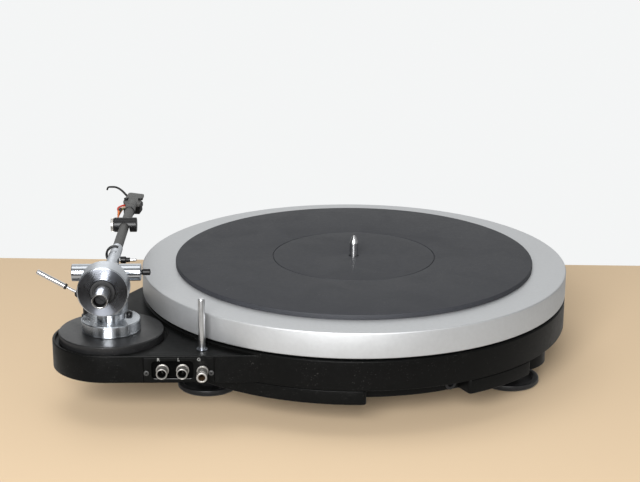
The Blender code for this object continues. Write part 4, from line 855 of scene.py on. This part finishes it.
for number, x in ((1, 23.92), (2, -23.92)):
    screw_head(f"panel_cross_screw_{number}", 2.0, 0.3, 1.0, panel_face @ at(x, -2.2),
               dark_steel, f"panel_screw_{number}", degrees=35 * number)

# %% [markdown]
# The letters beside the sockets say right, left and ground. They are drawn as text, turned
# into a mesh at once, and laid a hair above the plate, as screen printing lies on lacquer.

# %% Letters on the panel
for word, x in (("R", -14.9), ("L", 0.0), ("G", 14.9)):
    curve = bpy.data.curves.new("letter_" + word, "FONT")
    curve.body = word
    curve.size = 3.5 * mm
    curve.offset = curve.extrude = 0.03 * mm
    curve.align_x = curve.align_y = "CENTER"
    source = stand("letter_source", curve)
    mesh = plain_mesh(source)
    bpy.data.objects.remove(source, do_unlink=True)
    letter = stand("printed_" + word, mesh)
    mesh.transform(panel_face @ at(x, 8.15, 0.04))
    mesh.materials.clear()
    mesh.materials.append(pale_print)
    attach(letter, "base")
print("letters stand on the panel")

# %% [markdown]
# A slim bright rod stands in a bush on the wing. It is the key that levels the feet,
# kept where it is handy. The bush is a stepped ring, the key a plain rod with a round tip.

# %% Levelling key
key_place = deck @ at(key_x, key_y, wing_top)
turn_out("key_seat", [
    (0, -7.6), (3.6, -7.6), (3.6, 0.3), (4.2, 0.3), (4.2, 0.9, 0.3), (2.8, 0.9, 0.1), (2.8, -7.3),
    (0, -7.3)], key_place, turned_face, "key_bush", segments=64)
turn_out("bright_key", [
    (0, -7), (2.5, -7, 0.4), (2.5, 40, 1.1), (0, 40)], key_place, pale_steel, "levelling_key",
    segments=64)

# %% [markdown]
# The arm stands on a black disc let into the wing. On it sits a polished ring with one fine
# line cut near its foot, and from the ring rises the pillar that carries the bearing.

# %% Armboard, ring and pillar
turn_out("arm_disc", [
    (0, 37.3), (30, 37.3), (30, 56.6), (39.8, 56.6, 0.3), (39.8, 62.8, 0.3), (39.1, 63.5, 0.3),
    (0, 63.5)], arm, anodised, "armboard", segments=192)
turn_out("polished_ring", [
    (10.8, 63.8), (22.4, 63.8, 0.2), (22.4, 64.8), (22.25, 64.95), (22.4, 65.1), (22.4, 71.95, 0.2),
    (21.8, 72.55, 0.2), (10.8, 72.55)], arm, bright_turned, "arm_base_ring", segments=144, closed=True)
turn_out("polished_pillar", [
    (0, 63.8), (10.5, 63.8), (10.5, 77.75, 0.8), (6.3, 77.75, 0.1), (6.3, 65.25), (0, 65.25)], arm,
    bright_turned, "arm_pillar")
screw_head("ring_lock_screw", 2.4, 0.3, 2.6, arm @ at(-13.5, -6, 72.55), small_black, "lock_screw")

# %% [markdown]
# The arm rests in a black clip, a crescent that is open towards the platter and grows thin
# towards its tips. Its outline is two arcs with different centres of curvature, made from
# the wall's thickness at each angle, and a post joins it to the wing.

# %% Arm rest
rest_place, rest_shift = 44.5, -0.4
rest_height = pivot_height - tan(droop) * rest_place + 0.8
rest_inner, rest_wall = 5.9, 1.7
rest_start, rest_end = radians(-108), radians(114)
rest_steps = 48
crescent = []
for step in range(rest_steps + 1):
    share = step / rest_steps
    reach = rest_inner + rest_wall * (0.45 + 0.55 * sqrt(max(0.0, sin(pi * share))))
    crescent.append(round_spot(reach, rest_start + (rest_end - rest_start) * share))
crescent += arc(rest_inner, rest_end, rest_start, rest_steps)
clip = solid("rest_clip", plate(crescent, -1.8, 1.8, 0.25))
clip.data.transform(at(rest_shift, -rest_place, rest_height) @ along_minus_y)
post_top = rest_height - rest_inner - rest_wall * 0.6
carve(clip, lathe([(0, 58.8), (4.6, 58.8, 0.2), (4.6, 60.1, 0.3), (2.6, 61.7, 0.6), (2.6, post_top),
                   (0, post_top)], 64), at(rest_shift, -rest_place), "UNION")
settle(clip, arm, small_black, "arm_rest")
print("rest clip:", len(clip.data.polygons), "faces")

# %% [markdown]
# The lift is a column beside the arm. Its plunger carries a thin bar under the tube, and a
# lever with a bright handle turns in the column's side. A small black collar parts the
# lever's thin neck from its handle.

# %% Arm lift
lift_place = arm @ at(20, -27)
turn_out("lift_tower", [
    (0, 63.8), (5.6, 63.8, 0.2), (5.6, 66.0, 0.5), (4.3, 66.0, 0.2), (4.3, 88.2, 0.5), (2.1, 88.2, 0.1),
    (2.1, 80.2), (0, 80.2)], lift_place, small_black, "lift_column", segments=72)
bar_height = pivot_height - 27 * tan(droop) - 5.25 - 0.6 - 1.6
bar = solid("lift_rail", lathe([(0, -2.7), (1.6, -2.7, 0.4), (1.6, 37, 0.5), (0, 37)], 40))
bar.data.transform(at(0, 0, bar_height) @ along_minus_x)
carve(bar, cylinder(1.8, 80.5, bar_height, 40), operation="UNION")
settle(bar, lift_place, small_black, "lift_bar")

lever_place = lift_place @ at(7.3, 0, 83.3)
lever_way = turn(60, "Y")
lever = solid("lift_lever", lathe([(0, -3), (2.7, -3, 0.5), (2.7, 3, 0.5), (0, 3)], 48))
lever.data.transform(along_y)
carve(lever, lathe([(0, 0), (1.1, 0), (1.1, 10.2), (2.3, 10.2, 0.3), (2.3, 12.1, 0.3), (1.95, 12.1),
                    (1.95, 35.2, 0.4), (1.4, 36, 0.3), (0, 36)], 48), lever_way, "UNION")


def lever_finish(middle):
    """The neck and the handle are bright; the hub and the collar are black."""
    along = (lever_way.inverted() @ middle).z
    return int(along > 12.1 or 2.9 < along < 10.1)


settle(lever, lever_place, [small_black, turned_about(mirror_turned, lever_place @ lever_way)],
       "cue_lever", paint=lever_finish)
print("lever reaches", [round(1000 * x, 1) for x in lever_place.translation])

# %% [markdown]
# The turret turns on the pillar. A cross cylinder runs through it, and a deep slot holds the
# arm's pivot between two cheeks. Drawn as two turned solids joined, then slotted and bored,
# it keeps the true line where the cylinder meets the round tower.

# %% Turret with its cross cylinder
turret = solid("slotted_turret", lathe([
    (0, 66.25), (6, 66.25, 0.4), (6, 78.35), (12.4, 78.35, 0.3), (13.2, 79.15, 0.3), (13.2, 109.3, 0.3),
    (12.4, 110.1, 0.3), (0, 110.1)], 144))
cross_way = at(0, 0, pivot_height) @ along_x
carve(turret, lathe([
    (0, -24), (6, -24, 0.2), (6.5, -23.5, 0.2), (6.5, 27.5, 0.2), (6, 28, 0.2), (0, 28)], 112),
    cross_way, "UNION")
slot_corners = [(-7.6, -18), (7.6, -18), (7.6, 18), (-7.6, 18)]
carve(turret, plate(slot_corners, pivot_height - 7.8, pivot_height + 14))
carve(turret, cylinder(2.5, -11.8, 11.8, 48), cross_way)


def turret_finish(middle):
    """The cross cylinder and its bore are turned about their own axis."""
    return int(abs(middle.x) > 13.3 or (middle.xy.length < 13.1 and middle.z < 109))


settle(turret, arm, [turned_about(bright_turned, arm), turned_about(bright_turned, arm @ cross_way)],
       "arm_turret", paint=turret_finish)
knob_place = arm @ at(-24, 0, pivot_height) @ along_minus_x
turn_out("bias_dial", [
    (0, 0.3), (2.0, 0.3), (2.0, 1.1), (2.2, 1.5, 0.2), (2.2, 6.7, 0.3), (1.2, 7, 0.2), (0, 6.8)],
    knob_place, small_black, "bias_knob", segments=56)
ring_of_ribs("bias_dial_ribs", knob_place, small_black, "bias_knob", 22, radius=2.2, length=4.8,
             width=0.3, height=0.36, start=4.1)
turn_out("pivot_block", [
    (0, -11.2), (2.2, -11.2, 0.3), (2.2, -7), (6.4, -7, 0.3), (7.2, -6.2, 0.4), (7.2, 6.2, 0.4),
    (6.4, 7, 0.3), (2.2, 7), (2.2, 11.2, 0.3), (0, 11.2)], tilt @ along_x, steel, "pivot_hub",
    segments=80)
print("turret:", len(turret.data.polygons), "faces")

# %% [markdown]
# From the pivot the arm runs forward as a polished sleeve and a grey tube, and back as a
# polished stub. Near the headshell a collar with a black ring clamps the tube's end.
# The tube is one turned piece, and the faces of its ring take the darker finish.

# %% Sleeve, tube and stub
side_hole = at(0, -32) @ along_minus_x
sleeve = solid("arm_root_sleeve", lathe([
    (0, 7.5), (5.5, 7.5, 0.2), (5.5, 9.1, 0.2), (4.8, 9.9, 0.2), (4.8, 41.6, 0.3), (4.45, 42, 0.2),
    (4.45, 62.8, 0.2), (4.2, 63, 0.1), (0, 63)], 80))
sleeve.data.transform(along_minus_y)
carve(sleeve, cylinder(1.5, 0, 9, 32), side_hole)
settle(sleeve, tilt, turned_about(bright_turned, tilt @ along_minus_y), "arm_sleeve")
tube = solid("grey_arm_tube", lathe([
    (0, 63.3), (3.95, 63.3, 0.2), (3.95, 175.5), (4.2, 175.5, 0.15), (4.7, 176.0, 0.3),
    (4.7, 177.6, 0.3), (4.2, 178.1, 0.15), (4.2, 178.5, 0.1), (4.45, 178.7, 0.15), (4.45, 186.4, 0.15),
    (4.2, 186.6, 0.1), (4.2, 187.0, 0.1), (4.4, 187.2, 0.1), (4.4, 188, 0.2), (0, 188)], 80))
settle(tube, tilt @ along_minus_y, [grey_coat, dark_coat], "arm_tube",
       paint=lambda middle: int(175.4 < middle.z < 178.3 or 186.5 < middle.z < 187.1))
back = tilt @ along_y
stub = solid("polished_stub", lathe([
    (0, 7.5), (5.75, 7.5), (5.75, 69.1, 0.3), (5.35, 69.5, 0.15), (4.6, 69.5, 0.2), (4.6, 57.5),
    (0, 57.5)], 96))
settle(stub, back, [turned_about(mirror_turned, back), small_black], "rear_stub",
       paint=lambda middle: int(middle.z > 57 and middle.xy.length < 4.62))
plug = solid("stub_set_screw", lathe([(0, 57.8), (4.3, 57.8), (4.3, 63.5, 0.3), (0, 63.5)], 64))
carve(plug, plate(rounded_rectangle(12, 0.9, 0.2, 2), 62.3, 66), turn(-35, "Z"))
settle(plug, back, matt_plastic, "stub_screw")
print("arm tube ends at", [round(1000 * x, 1) for x in (tilt @ Vector((0, -0.188, 0)))])

# %% [markdown]
# The counterweight is a thick polished disc that slides on the stub, with a black ring let
# into its face. Fine turning on the face is what spreads light into a fan there.

# %% Counterweight and its ring
weight = solid("polished_counterweight", lathe([
    (6.05, 31), (17.9, 31, 0.3), (18.7, 31.8, 0.4), (18.7, 48.2, 0.4), (17.9, 49, 0.3),
    (9.45, 49, 0.15), (9.45, 47), (6.05, 47)], 144, closed=True))
settle(weight, back, [turned_about(bright_turned, back), turned_about(turned_face, back)],
       "counterweight", paint=lambda middle: int(middle.z > 48.95))
turn_out("weight_face_ring", [
    (6.05, 47.3), (9.15, 47.3), (9.15, 49.9, 0.6), (7.2, 49.9, 0.3), (6.9, 49.4, 0.2),
    (6.05, 49.4, 0.2)], back, matt_plastic, "weight_ring", closed=True)

# %% [markdown]
# Two small weights trim the arm. One is a stepped button on a thin screw at the sleeve's
# side. The other is a short cylinder that straddles the tube, with a flared arch beneath
# and a ribbed thumb screw in its end.

# %% Side weight and rider
side_place = tilt @ side_hole
side = solid("side_trim_weight", lathe([
    (0, 2.2), (1.2, 2.2), (1.2, 5.5), (2.3, 5.5, 0.2), (2.7, 5.9, 0.2), (2.7, 9.5, 0.2),
    (2.4, 9.9, 0.1), (1.8, 9.9, 0.1), (1.8, 12.9, 0.25), (1.2, 12.9), (1.2, 17.6, 0.3), (0, 17.9)], 64))
settle(side, side_place, [small_black, turned_about(mirror_turned, side_place)], "side_weight",
       paint=lambda middle: int(not 5.4 < middle.z < 13.0))

rider_place = tilt @ at(0, -130)
rider = solid("rider_block", lathe([
    (0, -10.25), (5.7, -10.25, 0.2), (6.1, -9.85, 0.2), (6.1, 8.2, 0.2), (5.7, 8.6, 0.2), (0, 8.6)],
    96))
rider_way = at(0, 0, 1.1) @ along_x
rider.data.transform(rider_way)
channel = [(5.5, -12.4)] + list(reversed(arc(4.3, pi, 0, 32))) + [(-5.5, -12.4)]
carve(rider, plate(channel, -14, 14), along_minus_y)
settle(rider, rider_place, small_black, "rider_weight")
thumb_place = rider_place @ rider_way
turn_out("rider_thumb_screw", [
    (0, 8.9), (5.3, 8.9, 0.2), (5.55, 9.15, 0.15), (5.55, 10.95, 0.2), (5.3, 11.2, 0.2), (0, 11.2)],
    thumb_place, pale_nickel, "rider_screw")
ring_of_ribs("thumb_screw_ribs", thumb_place, pale_nickel, "rider_screw", 36, radius=5.5, length=1.6,
             width=0.45, height=0.24, start=10.05)
print("rider:", len(rider.data.polygons), "faces")

# %% [markdown]
# The headshell is a grey plate with two long holes for the cartridge's screws. A round neck
# carries it on from the collar, and its front edge is cut askew, as the photograph shows.
# Each corner is an arc tangent to its two sides, so no kink is left in the outline.

# %% Headshell
half_length, corner, skew = 19.5, 2, radians(20)
slant = radians(20.4)
outline = arc(corner, 0, slant, 4, (6.3, 8.11)) + arc(corner, slant, pi / 2, 8, (2.81, 17.5))
for x, first, last in ((-8.75, pi / 2, pi), (-5.9, pi, 1.5 * pi - skew), (9, 1.5 * pi - skew, tau)):
    corner_x = x - corner * (1 if x > 0 else -1)
    corner_y = half_length - corner
    if last > pi:
        corner_y = corner / cos(skew) - half_length - tan(skew) * corner_x
    outline += arc(corner, first, last, 8, (corner_x, corner_y))
shell = solid("headshell_plate", plate(outline, -2.4, 0, 0.35))
neck_way = at(0, -188.3) @ turn(4, "X") @ at(0, 188.3)
carve(shell, lathe([(0, 188.3), (3.8, 188.3, 0.2), (4.2, 188.8, 0.3),
                    (4.2, 206, 2), (2.2, 210, 2), (0, 210)], 72),
      head.inverted() @ tilt @ neck_way @ along_minus_y, "UNION")
for side_sign in (1, -1):
    long_hole = (arc(1.35, 0, pi, 12, (side_sign * 6.35, 5.65))
                 + arc(1.35, pi, tau, 12, (side_sign * 6.35, -2.65)))
    carve(shell, plate(long_hole, -6, 4))
settle(shell, head, grey_coat, "headshell")
for number, x in ((1, 6.35), (2, -6.35)):
    screw_head(f"cartridge_slot_screw_{number}", 1.9, 0.3, 1.75, head @ at(x, 4.25),
               small_black, f"cartridge_screw_{number}", cross=False, degrees=25 * number)

# %% [markdown]
# The cartridge hangs under the plate. A wider top carries the screws, and a slimmer body
# with a sloping nose holds the generator. The stylus sits on a hair-thin tube under the nose.

# %% Cartridge and stylus
top, under = -2.7, -10.9
wide = [(7.9, 13.9), (-7.9, 13.9), (-7.9, 0), (-4.3, -7.5),
        (4.3, -7.5), (7.9, 0)]
cartridge = solid("cartridge_shell", plate(wide, top - 3.6, top, 0.5, 0.4))
slim = [(7.2, 13.3), (-7.2, 13.3), (-7.2, -0.2), (-3.9, -7.1),
        (3.9, -7.1), (7.2, -0.2)]
carve(cartridge, plate(slim, under, top - 2, 0.3, 0.8), operation="UNION")
settle(cartridge, head, cartridge_black, "cartridge_body")
holder_start = Vector((0, -6.6, -11.6))
stylus_tip = Vector((0, -10.5, -12.8))
needle = solid("stylus_tube", rod([holder_start, holder_start.lerp(stylus_tip, 0.5), stylus_tip,
                                   stylus_tip + Vector((0, -0.25, -0.1))], 0.35, 14))
settle(needle, head, steel, "stylus")

# %% [markdown]
# The finger lift is a drawn wire that leaves the plate's side, sweeps up and out, and ends
# in a small hook. It is thickest at its root, so its rod takes a radius for each point.

# %% Finger lift
edge, root_y = 10.2, -16.4
knots = [Vector((7.9, -3.5, -3.5)), Vector((8.1, -9.0, -3.5)),
         Vector((edge - 1.4, root_y + 1.2, -2.9)), Vector((edge, root_y, -1.3))]
for out_share, forward_share, rise_share in ((0.27, 0.5, 0.56), (0.54, 0.8, 1.0), (0.83, 1.0, 1.0),
                                             (0.95, 1.0, 0.88), (1.0, 1.0, 0.45)):
    knots.append(Vector((edge + 18.5 * out_share, root_y - 4 * forward_share, 5.2 * rise_share)))
line = smooth_path(knots, 10)
widths = [1.15 - 0.4 * index / (len(line) - 1) for index in range(len(line))]
settle(solid("finger_wire", rod(line, widths, 18)), head, small_black, "finger_lift")
print("finger lift:", len(line), "rings")

# %% [markdown]
# Four thin leads join the cartridge's pins to the tube. They bulge out as loose loops before
# they gather in a sleeve, each in its own colour, so that they can't be swapped.

# %% Cartridge leads
pin_back, pin_level = 14.85, -5.16
gather = Vector((6.72, pin_back + 14, pin_level + 3.2))
loop_shares = ((0.45, 3.0, 3.6, 1.6), (1.0, 7.0, 2.6, 2.4), (0.95, 11.0, 1.0, 1.9))
wires = bmesh.new()


def add_shape(shape, place=Matrix()):
    """Adds a rod or a turned shape to the leads, in its place."""
    loose = bpy.data.meshes.new("strand")
    shape.to_mesh(loose)
    shape.free()
    loose.transform(place)
    wires.from_mesh(loose)
    bpy.data.meshes.remove(loose)


for number in range(len(lead_finishes)):
    shift = (number - 1.5) * 1.7
    start_x = shift + 3.95
    loop_size = 8.5 - 1.7 * number
    knots = [Vector((start_x, pin_back, pin_level))]
    for out_share, back_by, rise, spread in loop_shares:
        knots.append(Vector((start_x + loop_size * out_share, pin_back + back_by,
                             pin_level + (rise - spread * number))))
    knots.append(Vector((gather.x + shift * 0.4, gather.y + 0.4, gather.z)))
    strand = rod(smooth_path(knots, 10), 0.7, 12)
    for face in strand.faces:
        face.material_index = number + 1
    add_shape(strand)
    add_shape(lathe([(0, -0.6), (0.85, -0.6, 0.15), (0.85, 2.6, 0.2), (0, 2.6)], 20),
              at(start_x, pin_back, pin_level) @ along_y)
add_shape(lathe([(0, -0.4), (1.3, -0.4, 0.3), (1.3, 3, 0.4), (0, 3)], 32), at(*gather) @ along_y)
lead_piece = settle(solid("coloured_leads", wires), head, [matt_plastic] + lead_finishes,
                    "cartridge_leads", sharp=60)
print("leads:", len(lead_piece.data.polygons), "faces in", len(lead_finishes), "colours")

# %% [markdown]
# A plain table stands in for the studio: a pale warm top whose far edge lies behind the
# deck, and white beyond. In the photograph the room beyond the camera is dark, and polished
# metal shows it, so the near part of the table is dark to reflected rays only.

# %% Table top
floor_mesh = bpy.data.meshes.new("table_top")
far, near, half_width = -0.2613, 2.6, 2.4
floor_mesh.from_pydata([(-half_width, far, 0), (half_width, far, 0), (half_width, near, 0),
                        (-half_width, near, 0)], [], [(0, 1, 2, 3)])
floor = stand("table_top", floor_mesh)
floor_finish = bpy.data.materials.new("pale_table")
floor_finish.use_nodes = True
tree = floor_finish.node_tree
rays = add(tree, "LightPath")
spot = add(tree, "SeparateXYZ", {"Vector": add(tree, "TexCoord").outputs["Object"]})
nearness = add(tree, "MapRange", {"Value": spot.outputs["Y"], "From Min": 0.26, "From Max": 0.42})
mirrored = add(tree, "Math", {0: nearness, 1: rays.outputs["Is Glossy Ray"]}, operation="MULTIPLY")
shown_tone = add(tree, "Mix", {"Factor": rays.outputs["Is Camera Ray"], 6: (0.56, 0.53, 0.49, 1.0),
                               7: (0.76, 0.585, 0.395, 1.0)}, data_type="RGBA")
table_tone = add(tree, "Mix", {"Factor": mirrored, 6: shown_tone.outputs[2],
                               7: (0.05, 0.045, 0.04, 1.0)}, data_type="RGBA")
feed(tree.nodes["Principled BSDF"], {"Base Color": table_tone.outputs[2], "Roughness": 0.6,
                                     "Specular IOR Level": 0.0})
floor_mesh.materials.append(floor_finish)

# %% [markdown]
# Polished metal shows the room, so the room matters. The wall behind the turntable and the
# ceiling are bright, and the room behind the camera is dim, which gives turned pieces their
# dark bands. Rays that only gather light see one even level, so colours stay true.
# A large soft lamp on the camera's side and one above model the round forms gently.

# %% World and lamps
world = bpy.data.worlds.new("studio")
bpy.context.scene.world = world
world.use_nodes = True
tree = world.node_tree
parts = add(tree, "SeparateXYZ", {"Vector": add(tree, "TexCoord").outputs["Generated"]})
azimuth = add(tree, "Math", {0: parts.outputs["X"], 1: parts.outputs["Y"]}, operation="ARCTAN2")
bearing = add(tree, "MapRange", {"Value": azimuth, "From Min": pi, "From Max": -pi})
bands = add(tree, "ValToRGB", {"Fac": bearing})
stops = bands.color_ramp.elements
stops[0].position, stops[1].position = 0.0, 1.0
for degrees, level in (
        (-180, 1.0), (-158, 0.9), (-135, 0.25), (-115, 0.08), (-66, 0.06), (-60, 0.6), (-44, 0.6),
        (-38, 0.05), (-6, 0.05), (-1, 1.0), (22, 1.0), (27, 0.05), (41, 0.05), (47, 0.9), (63, 0.9),
        (69, 0.28), (110, 0.25), (140, 0.3), (160, 0.9), (180, 1.0)):
    if abs(degrees) == 180:
        stop = stops[0] if degrees < 0 else stops[-1]
    else:
        stop = stops.new((degrees + 180) / 360)
    stop.color = (level, level, level, 1.0)
height_way = parts.outputs["Z"]
ceiling = add(tree, "MapRange", {"Value": height_way, "From Min": 0.75, "From Max": 0.95})
upper = add(tree, "Mix", {"Factor": ceiling, "A": bands, "B": 0.35}, data_type="FLOAT")
under_level = add(tree, "MapRange", {"Value": height_way, "From Min": -0.4, "From Max": -0.05,
                                     "To Min": 0.1, "To Max": 1.0})
mirror_level = add(tree, "Math", {0: upper, 1: under_level}, operation="MULTIPLY")
seen = add(tree, "LightPath")
direct = add(tree, "Math", {0: seen.outputs["Is Camera Ray"], 1: seen.outputs["Is Transmission Ray"]},
             operation="MAXIMUM")
gathered = add(tree, "Mix", {"Factor": seen.outputs["Is Glossy Ray"], "A": 0.38, "B": mirror_level},
               data_type="FLOAT")
blend = add(tree, "Mix", {"Factor": direct, "A": gathered, "B": 1.0}, data_type="FLOAT")
feed(tree.nodes["Background"], {"Color": (0.905, 0.915, 0.915, 1.0), "Strength": blend})


def soft_lamp(name, place, aim, size, watts):
    """A square area lamp that points at a spot and isn't seen itself."""
    data = bpy.data.lights.new(name, "AREA")
    data.shape = "SQUARE"
    data.size = size
    data.energy = watts
    lamp = stand(name, data)
    lamp.location = place
    lamp.rotation_euler = (Vector(aim) - Vector(place)).to_track_quat("-Z", "Y").to_euler()
    lamp.visible_camera = False


soft_lamp("overhead", (0.3, 0.1, 1.8), (0, 0, 0.05), 1.1, 6.0)
soft_lamp("camera_side", (0.3, 2.2, 1.0), (0, 0, 0.06), 1.1, 76.0)
print("lamps:", [lamp.name for lamp in bpy.data.lights])
